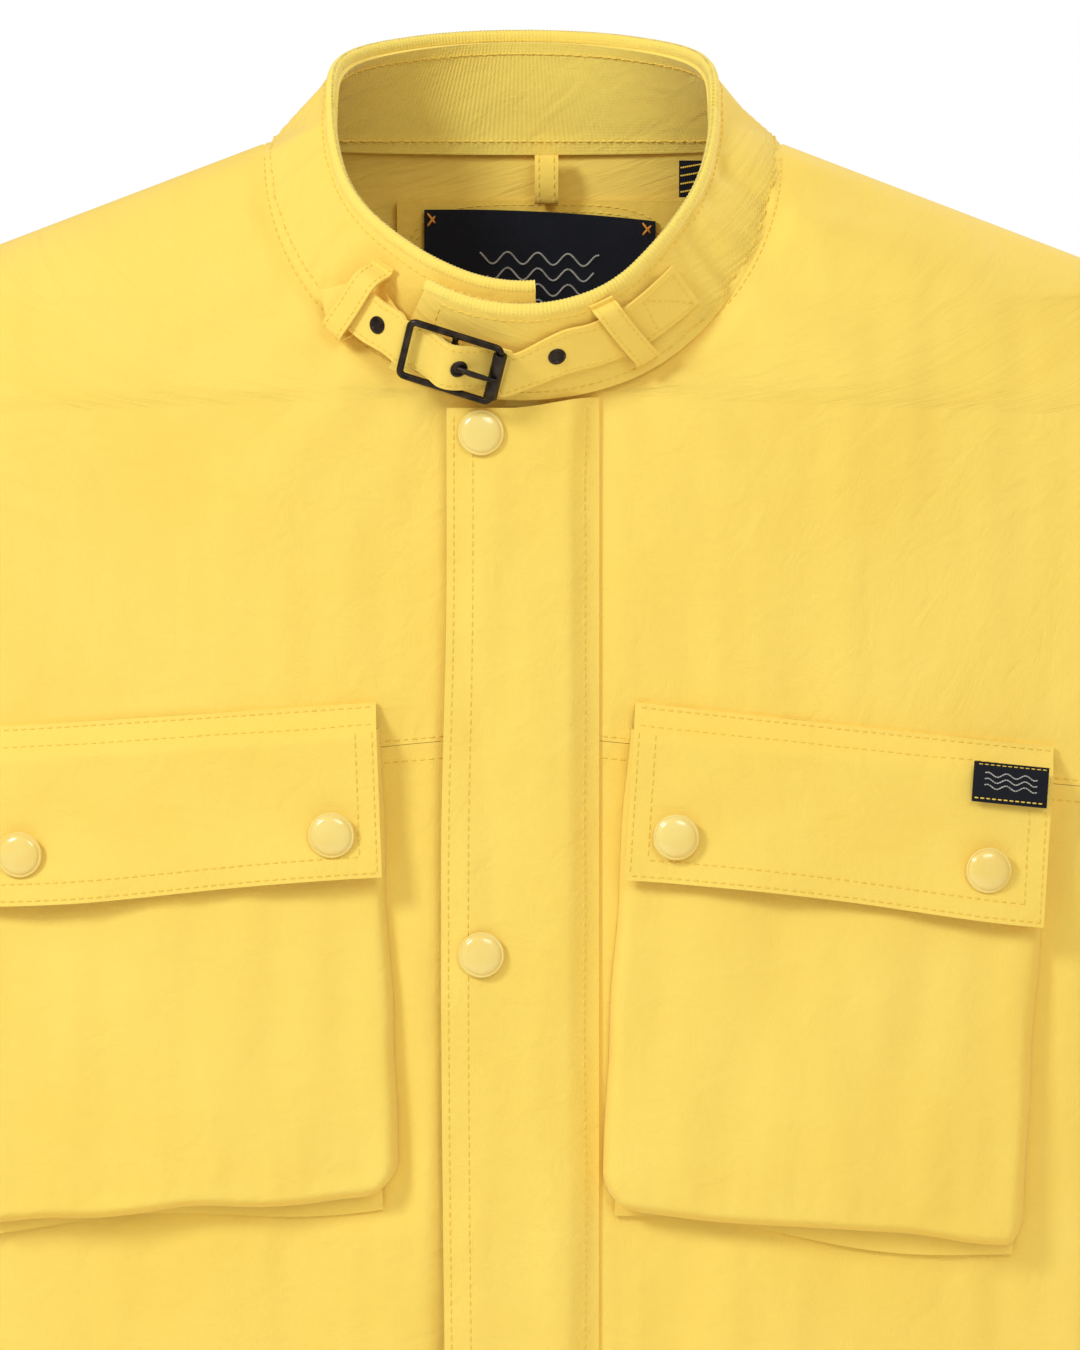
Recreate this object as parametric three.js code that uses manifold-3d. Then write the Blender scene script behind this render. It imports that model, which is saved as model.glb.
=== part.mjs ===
// Foul weather jacket, hollow and upright as it hangs from its loop. Millimetres, +Z up, the front faces -Y.
// Design frame: x = 0 in the middle of the front, y = 0 at the side seams, z = 0 at the high shoulder point.
import * as THREE from "three";
import { mergeVertices } from "three/addons/utils/BufferGeometryUtils.js";
import Module from "manifold-3d";

const wasm = await Module();
wasm.setup();

// Driving dimensions
const CLOTH = 2.5;            // lining, membrane and face fabric together
const GAP = 0.3;
const SEAM = 0.8;             // between two panels where their seam runs
const NECK_HALF_WIDTH = 97;
const NECK_DROP = 92;
const SHOULDER_SLOPE = 2.632; // run over fall of the shoulder line
const SHOULDER_TIP_Z = -56;
const ARMPIT_Z = -270;
const CHEST_HALF_WIDTH = 275;
const FRONT_EDGE = 6;         // from the middle of the front to a front panel's edge
const HEM_Z = -730;
const YOKE_Z = -221;
const YOKE_FALL = 0.1;
const BACK_YOKE_Z = -165;
const COLLAR_BASE = 0.1;      // where the collar's lower edge lies, 0 at the neckline and 1 at the rim
const OVERLAP_LIFT = 6;       // how far the collar's outer end stands off its inner end
const FLAP_LEFT = -28;
const FLAP_RIGHT = 28.5;
const FLAP_TOP = -97.5;
const FLAP_STAND = 5.5;       // storm flap above the front panels
const CAP_RADIUS = 8.5;
const CAP_PITCH = 194;
const FIRST_CAP_Z = -106;
const POCKET_WIDTH = 156;
const FLAP_DEPTH = 65;
const CHEST_BAG_DEPTH = 9;
const LOWER_BAG_DEPTH = 12;
const LOOP_AT = new THREE.Vector3(9, 39.5, -5.4); // where a hook bears in the hanging loop

const YELLOW = { color: 0xf9dd67, roughness: 0.75, metalness: 0 };
const KNIT = { color: 0xf6c552, roughness: 0.9, metalness: 0 };
const ENAMEL = { color: 0xfbe08a, roughness: 0.25, metalness: 0 };
const DARK_METAL = { color: 0x2b2624, roughness: 0.4, metalness: 0.9 };
const BLACK_WEAVE = { color: 0x15161a, roughness: 0.85, metalness: 0 };

const jacket = new THREE.Group();
jacket.position.copy(LOOP_AT).negate();
const part = new THREE.Group();
part.add(jacket);

// Helpers
const lerp = THREE.MathUtils.lerp;
const rad = THREE.MathUtils.degToRad;
function smooth(from, to, x) {
  const t = THREE.MathUtils.clamp((x - from) / (to - from), 0, 1);
  return t * t * (3 - 2 * t);
}
const vec = (x, y, z) => new THREE.Vector3(x, y, z);

function add(name, geometry, look, parent = jacket) {
  const mesh = new THREE.Mesh(geometry, new THREE.MeshStandardMaterial(look));
  mesh.name = name;
  parent.add(mesh);
  return mesh;
}

function signedVolume(points, triangles) {
  let six = 0;
  const cross = new THREE.Vector3();
  for (let i = 0; i < triangles.length; i += 3) {
    cross.crossVectors(points[triangles[i + 1]], points[triangles[i + 2]]);
    six += points[triangles[i]].dot(cross);
  }
  return six / 6;
}

function closedGeometry(points, triangles) {
  if (signedVolume(points, triangles) < 0) triangles.reverse();
  const geometry = new THREE.BufferGeometry().setFromPoints(points);
  geometry.setIndex(triangles);
  geometry.computeVertexNormals();
  return geometry;
}

// A closed slab between two grids of the same size; closed joins the last column to the first.
function slab(outer, inner, closed = false) {
  const rows = outer.length;
  const cols = outer[0].length;
  const points = [...outer.flat(), ...inner.flat()];
  const triangles = [];
  const at = (side, j, i) => side * rows * cols + j * cols + (i % cols);
  const quad = (a, b, c, d) => triangles.push(a, b, c, a, c, d);
  const spans = closed ? cols : cols - 1;
  for (let j = 0; j < rows - 1; j++) {
    for (let i = 0; i < spans; i++) {
      quad(at(0, j, i), at(0, j, i + 1), at(0, j + 1, i + 1), at(0, j + 1, i));
      quad(at(1, j, i), at(1, j + 1, i), at(1, j + 1, i + 1), at(1, j, i + 1));
    }
    if (closed) continue;
    quad(at(0, j, 0), at(0, j + 1, 0), at(1, j + 1, 0), at(1, j, 0));
    quad(at(0, j, cols - 1), at(1, j, cols - 1), at(1, j + 1, cols - 1), at(0, j + 1, cols - 1));
  }
  for (let i = 0; i < spans; i++) {
    quad(at(0, 0, i), at(1, 0, i), at(1, 0, i + 1), at(0, 0, i + 1));
    quad(at(0, rows - 1, i), at(0, rows - 1, i + 1), at(1, rows - 1, i + 1), at(1, rows - 1, i));
  }
  return closedGeometry(points, triangles);
}

function grid(rows, cols, point) {
  return Array.from({ length: rows }, (_, j) =>
    Array.from({ length: cols }, (_, i) => point(i / (cols - 1), j / (rows - 1))));
}

// A copy of a grid moved along its normals, which point away from the given centre.
function offsetGrid(points, distance, centreOf, closed = false) {
  const rows = points.length;
  const cols = points[0].length;
  const column = (i) => (closed ? (i + cols) % cols : THREE.MathUtils.clamp(i, 0, cols - 1));
  return points.map((row, j) => row.map((p, i) => {
    const across = row[column(i + 1)].clone().sub(row[column(i - 1)]);
    const down = points[Math.min(j + 1, rows - 1)][i].clone().sub(points[Math.max(j - 1, 0)][i]);
    const normal = across.cross(down).normalize();
    if (normal.dot(p.clone().sub(centreOf(p))) < 0) normal.negate();
    return p.clone().addScaledVector(normal, distance);
  }));
}

const trunkCentre = (p) => vec(p.x * 0.6, 0, p.z - 20);

// Trunk: each level is a superellipse of half width W, half depth D and exponent N
function halfWidth(z) {
  if (z > SHOULDER_TIP_Z) return NECK_HALF_WIDTH - z * SHOULDER_SLOPE;
  const tip = NECK_HALF_WIDTH - SHOULDER_TIP_Z * SHOULDER_SLOPE;
  return lerp(tip, CHEST_HALF_WIDTH, 1 - (1 - smooth(SHOULDER_TIP_Z, -130, z)) ** 2);
}
const exponent = (z) => lerp(2, 3, smooth(0, -120, z));
const frontDepth = (z) => (z > -NECK_DROP ? lerp(30, 60, -z / NECK_DROP) : 60 + (-z - NECK_DROP) / 63.8);
const backDepth = (z) => lerp(50, 65, smooth(0, -400, z));

function depthAt(x, z, depth) {
  const n = exponent(z);
  return depth * Math.max(0, 1 - Math.abs(x / halfWidth(z)) ** n) ** (1 / n);
}
const frontY = (x, z) => -depthAt(x, z, frontDepth(z));
const backY = (x, z) => depthAt(x, z, backDepth(z));

// Armhole: how far in front of or behind the side plane its edge runs at a level
function armholeX(z, depth, reach) {
  const middle = (SHOULDER_TIP_Z + ARMPIT_Z) / 2;
  const half = (SHOULDER_TIP_Z - ARMPIT_Z) / 2;
  const y = reach * Math.sqrt(Math.max(0, 1 - ((z - middle) / half) ** 2));
  const n = exponent(z);
  return halfWidth(z) * Math.max(0, 1 - (y / depth) ** n) ** (1 / n);
}
const FRONT_REACH = 48;
const BACK_REACH = 46;
function outerX(z, front) {
  if (z > SHOULDER_TIP_Z || z < ARMPIT_Z) return halfWidth(z);
  return front ? armholeX(z, frontDepth(z), FRONT_REACH) : armholeX(z, backDepth(z), BACK_REACH);
}
function innerX(z) {
  if (z < -NECK_DROP) return FRONT_EDGE;
  return Math.max(FRONT_EDGE, NECK_HALF_WIDTH * Math.sqrt(1 - (z / NECK_DROP) ** 2));
}

// A point on a level between two x values, evenly spread round the superellipse
function spread(xFrom, xTo, share, z, front) {
  const n = exponent(z);
  const angle = (x) => Math.sign(x) * Math.asin(Math.min(1, Math.abs(x / halfWidth(z))) ** (n / 2));
  const a = lerp(angle(xFrom), angle(xTo), share);
  const x = Math.sign(a) * halfWidth(z) * Math.abs(Math.sin(a)) ** (2 / n);
  const depth = front ? -frontDepth(z) : backDepth(z);
  return vec(x, depth * Math.abs(Math.cos(a)) ** (2 / n), z);
}

const yokeSeamZ = (x) => YOKE_Z - YOKE_FALL * Math.max(0, x - FLAP_RIGHT);

function frontPanel(side, top, bottom, rows) {
  const outer = grid(rows, 10, (c, r) => {
    let p = vec(60, 0, 0);
    for (let pass = 0; pass < 4; pass++) {
      const z = lerp(top(p.x), bottom(p.x), r);
      p = spread(innerX(z), outerX(z, true), c, z, true);
    }
    return p;
  });
  const inner = offsetGrid(outer, -CLOTH, trunkCentre);
  const tidy = (points) => points.map((row) => row.map((p) => vec(side * p.x, Math.min(p.y, -GAP), p.z)));
  return slab(tidy(outer), tidy(inner));
}

function backPanel(top, bottom, rows) {
  const outer = grid(rows, 17, (c, r) => {
    const z = lerp(top(c), bottom, r);
    const edge = outerX(z, false);
    return spread(-edge, edge, c, z, false);
  });
  const inner = offsetGrid(outer, -CLOTH, trunkCentre);
  const tidy = (points) => points.map((row) => row.map((p) => vec(p.x, Math.max(p.y, GAP), p.z)));
  return slab(tidy(outer), tidy(inner));
}

for (const [side, word] of [[1, "left"], [-1, "right"]]) {
  add(`front_${word}_yoke`, frontPanel(side, () => -2, (x) => yokeSeamZ(x) + SEAM, 13), YELLOW);
  add(`front_${word}_panel`, frontPanel(side, (x) => yokeSeamZ(x) - SEAM, () => HEM_Z, 11), YELLOW);
}
add("back_yoke", backPanel((c) => -2 - 4 * Math.sin(Math.PI * c), BACK_YOKE_Z + SEAM, 9), YELLOW);
add("back_panel", backPanel(() => BACK_YOKE_Z - SEAM, HEM_Z, 11), YELLOW);

// Sleeves: a top line and an underarm line give each ring's height, and a table its half depth
const TOP_LINE = new THREE.CatmullRomCurve3([[247, -56], [292, -76], [338, -115], [374, -176], [415, -285],
  [447, -400], [478, -545], [498, -692]].map(([x, z]) => vec(x, 0, z)));
const UNDER_LINE = new THREE.CatmullRomCurve3([[278, -271], [287, -282], [295, -296], [302, -320], [312, -385],
  [328, -468], [353, -582], [378, -712]].map(([x, z]) => vec(x, 0, z)));
const CUFF_LENGTH = 55;
const SLEEVE_HEAD = 0.2;      // share of the sleeve in which its cut edge turns into a round section
const CUFF_STEP = vec(0.165, 0, -0.986);

function sleeveRing(share, side, grow) {
  const top = TOP_LINE.getPoint(share);
  const under = UNDER_LINE.getPoint(share);
  const centre = top.clone().add(under).multiplyScalar(0.5);
  const half = top.clone().sub(under).multiplyScalar(0.5);
  half.setLength(half.length() + grow);
  const depth = lerp(47, 56, smooth(0, 0.3, share)) - 13 * smooth(0.4, 1, share) + grow;
  const forward = -22 * smooth(0.1, 1, share);
  return (angle) => {
    const p = centre.clone().addScaledVector(half, Math.cos(angle));
    const behind = Math.sin(angle) < 0;
    const hole = behind ? armholeX(p.z, backDepth(p.z), BACK_REACH + grow) : armholeX(p.z, 62, depth + 1);
    p.x = lerp(hole + 2, p.x, smooth(0, SLEEVE_HEAD, share));
    return vec(side * p.x, forward - depth * Math.sin(angle), p.z);
  };
}

function ringGrid(stations, segments, ringAt) {
  return stations.map((s) => Array.from({ length: segments }, (_, i) => ringAt(s)((i / segments) * 2 * Math.PI)));
}

const RING_SIDES = 20;
function sleeve(side) {
  const stations = [0, 0.05, 0.1, 0.15, 0.22, 0.31, 0.42, 0.55, 0.7, 0.85, 1];
  const outer = ringGrid(stations, RING_SIDES, (s) => sleeveRing(s, side, 0));
  const inner = ringGrid(stations, RING_SIDES, (s) => sleeveRing(s, side, -CLOTH));
  return slab(outer, inner, true);
}

function cuff(side) {
  const step = vec(side * CUFF_STEP.x, 0, CUFF_STEP.z);
  const ring = (grow) => [GAP, CUFF_LENGTH].map((down) =>
    Array.from({ length: RING_SIDES }, (_, i) =>
      sleeveRing(1, side, grow)((i / RING_SIDES) * 2 * Math.PI).addScaledVector(step, down)));
  return slab(ring(1), ring(-2.5), true);
}

// Snap caps: a low dome on a rim, its axis along +Z before it is placed
const CAP_PROFILE = [[0, 0], [8, 0], [8.5, 0.5], [8.4, 1.2], [7.2, 2.3], [4.5, 3.2], [0, 3.6]];
function capGeometry() {
  const profile = CAP_PROFILE.map(([r, h]) => new THREE.Vector2((r * CAP_RADIUS) / 8.5, h));
  return cleaned(new THREE.LatheGeometry(profile, 16)).rotateX(Math.PI / 2);
}

// Joined vertices and outward faces, from a three.js primitive
function cleaned(geometry) {
  const bare = geometry.index ? geometry.toNonIndexed() : geometry.clone();
  bare.deleteAttribute("normal");
  bare.deleteAttribute("uv");
  const merged = mergeVertices(bare, 1e-3);
  const p = merged.attributes.position;
  const points = Array.from({ length: p.count }, (_, i) => new THREE.Vector3().fromBufferAttribute(p, i));
  const kept = [];
  for (let i = 0; i < merged.index.count; i += 3) {
    const [a, b, c] = [0, 1, 2].map((k) => merged.index.getX(i + k));
    if (a !== b && b !== c && c !== a) kept.push(a, b, c);
  }
  return closedGeometry(points, kept);
}

function solid(geometry) {
  const g = cleaned(geometry);
  const vertProperties = new Float32Array(g.attributes.position.array);
  return new wasm.Manifold(new wasm.Mesh({ numProp: 3, vertProperties, triVerts: new Uint32Array(g.index.array) }));
}

function geometryOf(manifold) {
  const mesh = manifold.getMesh();
  const geometry = new THREE.BufferGeometry();
  geometry.setAttribute("position", new THREE.BufferAttribute(new Float32Array(mesh.vertProperties), 3));
  geometry.setIndex(Array.from(mesh.triVerts));
  geometry.computeVertexNormals();
  return geometry;
}

function facing(mesh, position, direction) {
  mesh.position.copy(position);
  mesh.quaternion.setFromUnitVectors(vec(0, 0, 1), direction.clone().normalize());
  return mesh;
}

// Cuffs with a tab each, hinged at its sewn end on the front of the cuff
const TAB_LENGTH = 62;
const TAB_WIDTH = 30;
for (const [side, word] of [[1, "left"], [-1, "right"]]) {
  add(`sleeve_${word}`, sleeve(side), YELLOW);
  add(`cuff_${word}`, cuff(side), YELLOW);
  const frame = new THREE.Group();
  frame.position.set(side * 416, -71.5, -727);
  frame.rotation.y = side * -0.165;
  jacket.add(frame);
  const tab = new THREE.BoxGeometry(TAB_LENGTH, 2, TAB_WIDTH);
  add(`cuff_tab_${word}`, tab, YELLOW, frame).position.set((side * TAB_LENGTH) / 2, 0, 0);
  const cap = add(`cuff_snap_cap_${word}`, capGeometry(), ENAMEL, frame);
  facing(cap, vec(side * (TAB_LENGTH - 14), -1 - GAP, 0), vec(0, -1, 0));
}

// Collar: ruled between the neckline and the rim. turn is 0 at the front, positive to the wearer's left, in degrees
function collarPoint(turn, up, lift) {
  const s = Math.sin(rad(turn));
  const c = Math.cos(rad(turn));
  const base = c > 0
    ? vec(NECK_HALF_WIDTH * s, 0, -NECK_DROP * c)
    : vec(NECK_HALF_WIDTH * s, -50 * c, 5 * c);
  if (c > 0) base.y = frontY(base.x, base.z);
  const rimZ = c > 0 ? 12 - 72 * c : 12 + 27 * Math.abs(c) ** 0.4;
  const rim = vec(69 * s, -19 - 61 * c, rimZ);
  const p = base.clone().lerp(rim, up);
  return p.addScaledVector(collarNormal(turn), lift);
}
const collarNormal = (turn) => vec(Math.sin(rad(turn)), -Math.cos(rad(turn)) * 1.1,
  0.1 - 0.55 * Math.max(0, Math.cos(rad(turn)))).normalize();

// The collar strip starts behind the front overlap, runs round the back and ends on top of it
const STRIP_START = 4;
const STRIP_END = -389;
const KNIT_STAND = 2.7;
const overlapLift = (turn) => OVERLAP_LIFT * smooth(-300, -340, turn);

function collarBand(from, to, cols, upFrom, upTo, faceLift, thickness) {
  const layer = (depth) => grid(3, cols, (c, r) => {
    const turn = lerp(from, to, c);
    return collarPoint(turn, lerp(upFrom, upTo, r), faceLift + overlapLift(turn) - depth);
  });
  return slab(layer(0), layer(thickness));
}
add("collar_shell", collarBand(STRIP_START, STRIP_END, 53, COLLAR_BASE, 1, 0, CLOTH), YELLOW);
add("collar_knit_band", collarBand(-62, -298, 35, 0.06, 0.97, -CLOTH - KNIT_STAND, 1.6), KNIT);

function collarBinding() {
  const section = [[0.4, 0.5], [0.9, 2], [-0.6, 3.4], [-3, 3.4], [-4.6, 2], [-4.4, 0.5]];
  const cols = 53;
  const points = [];
  const triangles = [];
  for (let i = 0; i < cols; i++) {
    const turn = lerp(STRIP_START, STRIP_END, i / (cols - 1));
    for (const [out, high] of section) {
      points.push(collarPoint(turn, 1, out + overlapLift(turn)).add(vec(0, 0, high)));
    }
  }
  const sides = section.length;
  for (let i = 0; i < cols - 1; i++) {
    for (let k = 0; k < sides; k++) {
      const [a, b] = [i * sides + k, i * sides + ((k + 1) % sides)];
      triangles.push(a, b, b + sides, a, b + sides, a + sides);
    }
  }
  const last = (cols - 1) * sides;
  for (let k = 1; k < sides - 1; k++) {
    triangles.push(0, k + 1, k, last, last + k, last + k + 1);
  }
  return closedGeometry(points, triangles);
}
add("collar_edge_binding", collarBinding(), KNIT);

// A flat ribbon through stations of {p, side, up}: side runs across the ribbon and up off its face
function ribbon(stations, width, thickness) {
  const layer = (h) => stations.map(({ p, side, up, narrow = 1 }) => [-0.5, 0, 0.5].map((w) =>
    p.clone().addScaledVector(side, w * width * narrow).addScaledVector(up, h)));
  return slab(layer(thickness / 2), layer(-thickness / 2));
}

// Buckle frame of reference on the front of the collar: s along the strap, w across it, h off it
const BUCKLE_TURN = -16;
const BUCKLE_UP = 0.44;
const BUCKLE_TILT = 0.24;
const BAR = 1.2;
const BUCKLE_HALF_LENGTH = 17.5;
const BUCKLE_HALF_HEIGHT = 11.2;
const buckle = new THREE.Group();
jacket.add(buckle);
const outward = collarNormal(BUCKLE_TURN);
const along = vec(Math.cos(BUCKLE_TILT), 0, -Math.sin(BUCKLE_TILT));
along.addScaledVector(outward, -along.dot(outward)).normalize();
const across = outward.clone().cross(along).normalize();
buckle.quaternion.setFromRotationMatrix(new THREE.Matrix4().makeBasis(along, across, outward));
buckle.position.copy(collarPoint(BUCKLE_TURN, BUCKLE_UP, OVERLAP_LIFT + 7.5));

const inBuckle = (s, w, h) => vec(s, w, h).applyQuaternion(buckle.quaternion).add(buckle.position);

function bar(from, to, radius, sides = 8) {
  return new THREE.ExtrudeGeometry(circle(radius, sides), {
    steps: 1, bevelEnabled: false, extrudePath: new THREE.LineCurve3(from, to),
  });
}
function circle(radius, sides) {
  const shape = new THREE.Shape();
  for (let i = 0; i < sides; i++) {
    const a = (i / sides) * 2 * Math.PI;
    if (i === 0) shape.moveTo(radius, 0);
    else shape.lineTo(radius * Math.cos(a), radius * Math.sin(a));
  }
  shape.closePath();
  return shape;
}

function buckleFrame() {
  const L = BUCKLE_HALF_LENGTH;
  const H = BUCKLE_HALF_HEIGHT;
  let frame = solid(bar(vec(-L - BAR, H, 0), vec(L + BAR, H, 0), BAR));
  frame = frame.add(solid(bar(vec(-L - BAR, -H, 0), vec(L + BAR, -H, 0), BAR)));
  for (const s of [-L, 0, L]) frame = frame.add(solid(bar(vec(s, -H, 0), vec(s, H, 0), BAR)));
  return geometryOf(frame);
}

// A tube standing along the strap's width, with its bore
function tube(radius, bore, length, sides = 14) {
  const profile = [[bore, -length / 2], [radius, -length / 2], [radius, length / 2], [bore, length / 2],
    [bore, -length / 2]];
  return cleaned(new THREE.LatheGeometry(profile.map(([r, y]) => new THREE.Vector2(r, y)), sides));
}
add("buckle_frame", buckleFrame(), DARK_METAL, buckle);
add("buckle_roller", tube(2.6, 1.6, 18.4), DARK_METAL, buckle).position.x = BUCKLE_HALF_LENGTH;

// Prong: an eye round the middle bar and a finger over the strap to the roller
function buckleProng() {
  const finger = new THREE.CatmullRomCurve3([vec(1.6, 0, 1.1), vec(4, 0, 3.1), vec(8, 0, 4), vec(14, 0, 4),
    vec(18.5, 0, 3.9)]);
  const stem = new THREE.ExtrudeGeometry(circle(0.9, 8), { steps: 10, bevelEnabled: false, extrudePath: finger });
  const eye = solid(tube(2.4, 1.6, 2.2));
  const clear = solid(new THREE.CylinderGeometry(1.6, 1.6, 4, 14));
  return geometryOf(eye.add(solid(stem)).subtract(clear));
}
add("buckle_prong", buckleProng(), DARK_METAL, buckle);

// Strap stations: on the collar away from the buckle, and woven over its middle bar inside it
const STRAP_WIDTH = 18;
const STRAP_THICK = 1.4;
const STRAP_ROUTE = [[45, 0.55, 1.5], [40, 0.57, 2], [33, 0.58, 2.2], [26.5, 0.57, 2.2], [18, 0.56, 2.2],
  [10, 0.55, 2.4]];
const STRAP_TIP = [[-31, 0.45, 10.2], [-36, 0.42, 8.8], [-42, 0.4, 7.6], [-47, 0.32, 7], [-51, 0.24, 6.4]];
const STRAP_IN_BUCKLE = [[23, -5.9], [20, -5.5], [17.5, -5.2], [14, -4.6], [9.5, -1.6], [5, 2], [2.5, 3.5], [0, 4.1],
  [-2.5, 3.5], [-6, 0.6], [-10, -2.2], [-14, -3.6], [-17.5, -3.7], [-20, -3.7]];

function onCollar(turn, up, lift) {
  const p = collarPoint(turn, up, lift);
  const above = collarPoint(turn, up + 0.1, lift).sub(p).normalize();
  return { p, side: above, up: collarNormal(turn) };
}
function strapStations() {
  const start = STRAP_ROUTE.map(([turn, up, lift]) => onCollar(turn, up, lift + overlapLift(turn - 360)));
  const woven = STRAP_IN_BUCKLE.map(([s, h]) => ({ p: inBuckle(s, 0, h), side: across, up: outward }));
  const tip = STRAP_TIP.map(([turn, up, lift]) => onCollar(turn, up, lift));
  tip[tip.length - 1].narrow = 0.25;
  tip[tip.length - 2].narrow = 0.8;
  return [...start, ...woven, ...tip];
}

function collarStrap() {
  const stations = strapStations();
  for (const [i, station] of stations.entries()) {
    const before = stations[Math.max(0, i - 1)].p;
    const after = stations[Math.min(stations.length - 1, i + 1)].p;
    const run = after.clone().sub(before).normalize();
    station.up = station.side.clone().cross(run).normalize();
    if (station.up.dot(outward) < 0) station.up.negate();
  }
  const prongHole = solid(new THREE.BoxGeometry(9, 3.6, 9));
  const moved = prongHole.transform(buckleMatrix(5, 0.6));
  return geometryOf(solid(ribbon(stations, STRAP_WIDTH, STRAP_THICK)).subtract(moved));
}
function buckleMatrix(s, h) {
  const matrix = new THREE.Matrix4().compose(inBuckle(s, 0, h), buckle.quaternion, vec(1, 1, 1));
  return matrix.elements;
}
add("collar_strap", collarStrap(), YELLOW);

// Eyelets lie on the strap's face
function eyelet(name, position, direction) {
  const ring = [[2.1, 0], [3.5, 0], [3.3, 0.6], [2.3, 0.6], [2.1, 0]].map(([r, h]) => new THREE.Vector2(r, h));
  const geometry = cleaned(new THREE.LatheGeometry(ring, 14));
  geometry.rotateX(Math.PI / 2);
  facing(add(name, geometry, DARK_METAL), position, direction);
}
const EYELET_STAND = STRAP_THICK / 2 + GAP + 0.5;
eyelet("eyelet_open", collarPoint(10, 0.55, 2.4 + OVERLAP_LIFT + EYELET_STAND), collarNormal(10));
eyelet("eyelet_end", collarPoint(-37.5, 0.4, 8.3 + EYELET_STAND + 0.3), collarNormal(-37.5));

// Buckle tab: sewn to the collar behind the strap, and folded round the middle bar
function buckleTab() {
  const stations = [[-38.5, 0.42, 1.7], [-36, 0.425, 3.6]].map(([turn, up, lift]) =>
    onCollar(turn, up, lift));
  for (const [s, h] of [[-20, -5.6], [-14, -5.4], [-8, -3.6], [-3.5, -2.4], [0, -2.2]]) {
    stations.push({ p: inBuckle(s, 0, h), side: across, up: outward });
  }
  for (const angle of [-60, -30, 0, 30, 60, 90]) {
    const up = vec(Math.cos(rad(angle)), 0, Math.sin(rad(angle)));
    stations.push({
      p: inBuckle(2.2 * up.x, 0, 2.2 * up.z),
      side: across,
      up: up.applyQuaternion(buckle.quaternion).negate(),
    });
  }
  const slot = solid(new THREE.BoxGeometry(9, 3.2, 9)).transform(buckleMatrix(1.2, 0));
  return geometryOf(solid(ribbon(stations, 15, 0.8)).subtract(slot));
}
add("buckle_tab", buckleTab(), YELLOW);

// Keeper loops bridge the strap from the collar above it to the collar below it
function keeperLoop(turnTop, turnFoot, upTop, upFoot, base, bridge) {
  const shares = [0, 0.07, 0.13, 0.5, 0.9, 0.95, 1];
  const heights = [base, base, bridge, bridge, bridge, base, base];
  const stations = shares.map((share, i) => {
    const turn = lerp(turnTop, turnFoot, share);
    const here = onCollar(turn, lerp(upTop, upFoot, share), heights[i]);
    return { p: here.p, side: here.side.clone().cross(here.up).normalize(), up: here.up };
  });
  return ribbon(stations, 9.5, 1);
}
add("strap_loop_left", keeperLoop(22.5, 28, 0.99, 0.13, OVERLAP_LIFT + 0.9, OVERLAP_LIFT + 4.2), YELLOW);
add("strap_loop_right", keeperLoop(-42.5, -42.5, 0.86, -0.02, 2.4, 10.4), YELLOW);

// Storm flap over the zip, hinged along its sewn edge
const flapFace = (z) => -frontDepth(z) - FLAP_STAND;
function stormFlap() {
  const layer = (depth) => grid(9, 4, (c, r) => {
    const z = lerp(FLAP_TOP, HEM_Z + 6, r);
    return vec(lerp(FLAP_LEFT, FLAP_RIGHT, c), flapFace(z) - CLOTH + depth, z);
  });
  return slab(layer(0), layer(CLOTH));
}
add("storm_flap", stormFlap(), YELLOW);
for (let i = 0; i < 4; i++) {
  const z = FIRST_CAP_Z - i * CAP_PITCH;
  const at = vec(-15.3, flapFace(z) - CLOTH - GAP, z);
  facing(add(`storm_snap_cap_${i + 1}`, capGeometry(), ENAMEL), at, vec(0, -1, 0.0157));
}

// Zip behind the front edges: two tapes, the closed chain of teeth, a slider with its puller, and the stop
const ZIP_TOP = -97;
const ZIP_BOTTOM = HEM_Z + 14;
const zipY = (z) => -frontDepth(z) + CLOTH + GAP;
function zipStrip(xFrom, xTo, yFrom, yTo, zFrom, zTo) {
  const layer = (y) => grid(2, 2, (c, r) => {
    const z = lerp(zFrom, zTo, r);
    return vec(lerp(xFrom, xTo, c), zipY(z) + y, z);
  });
  return slab(layer(yFrom), layer(yTo));
}
add("zip_tape_left", zipStrip(3, 19, 0.2, 1.2, ZIP_TOP, ZIP_BOTTOM), YELLOW);
add("zip_tape_right", zipStrip(-3, -19, 0.2, 1.2, ZIP_TOP, ZIP_BOTTOM), YELLOW);
add("zip_teeth", zipStrip(-2.6, 2.6, -1, 1.6, ZIP_TOP, ZIP_BOTTOM), DARK_METAL);
add("zip_stop", zipStrip(-4.5, 4.5, -1, 1.6, ZIP_BOTTOM - GAP, ZIP_BOTTOM - 11), DARK_METAL);

const SLIDER_TOP = -98;
const SLIDER_LENGTH = 11;
function zipSlider() {
  const section = [[-4.2, 0], [-4.2, -2.9], [4.2, -2.9], [4.2, 0], [3.1, 0], [3.1, -1.5], [-3.1, -1.5], [-3.1, 0]];
  const shape = new THREE.Shape(section.map(([x, y]) => new THREE.Vector2(x, y)));
  return new THREE.ExtrudeGeometry(shape, { depth: SLIDER_LENGTH, bevelEnabled: false });
}
const slider = new THREE.Group();
slider.position.set(0, zipY(SLIDER_TOP - SLIDER_LENGTH), SLIDER_TOP - SLIDER_LENGTH);
slider.rotation.x = -0.0157;
jacket.add(slider);
add("zip_slider", zipSlider(), DARK_METAL, slider);
add("zip_puller", new THREE.BoxGeometry(5.5, 1, 24), DARK_METAL, slider)
  .position.set(0, -2.9 - GAP - 0.6, SLIDER_LENGTH - 3 - 12);

// Bellows pockets: an open-topped bag on a front and a flap hinged above its mouth
const BAG_STAND = 0.7;
const FLAP_RISE = 1.2;
const FLAP_CLOTH = 2;

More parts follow.
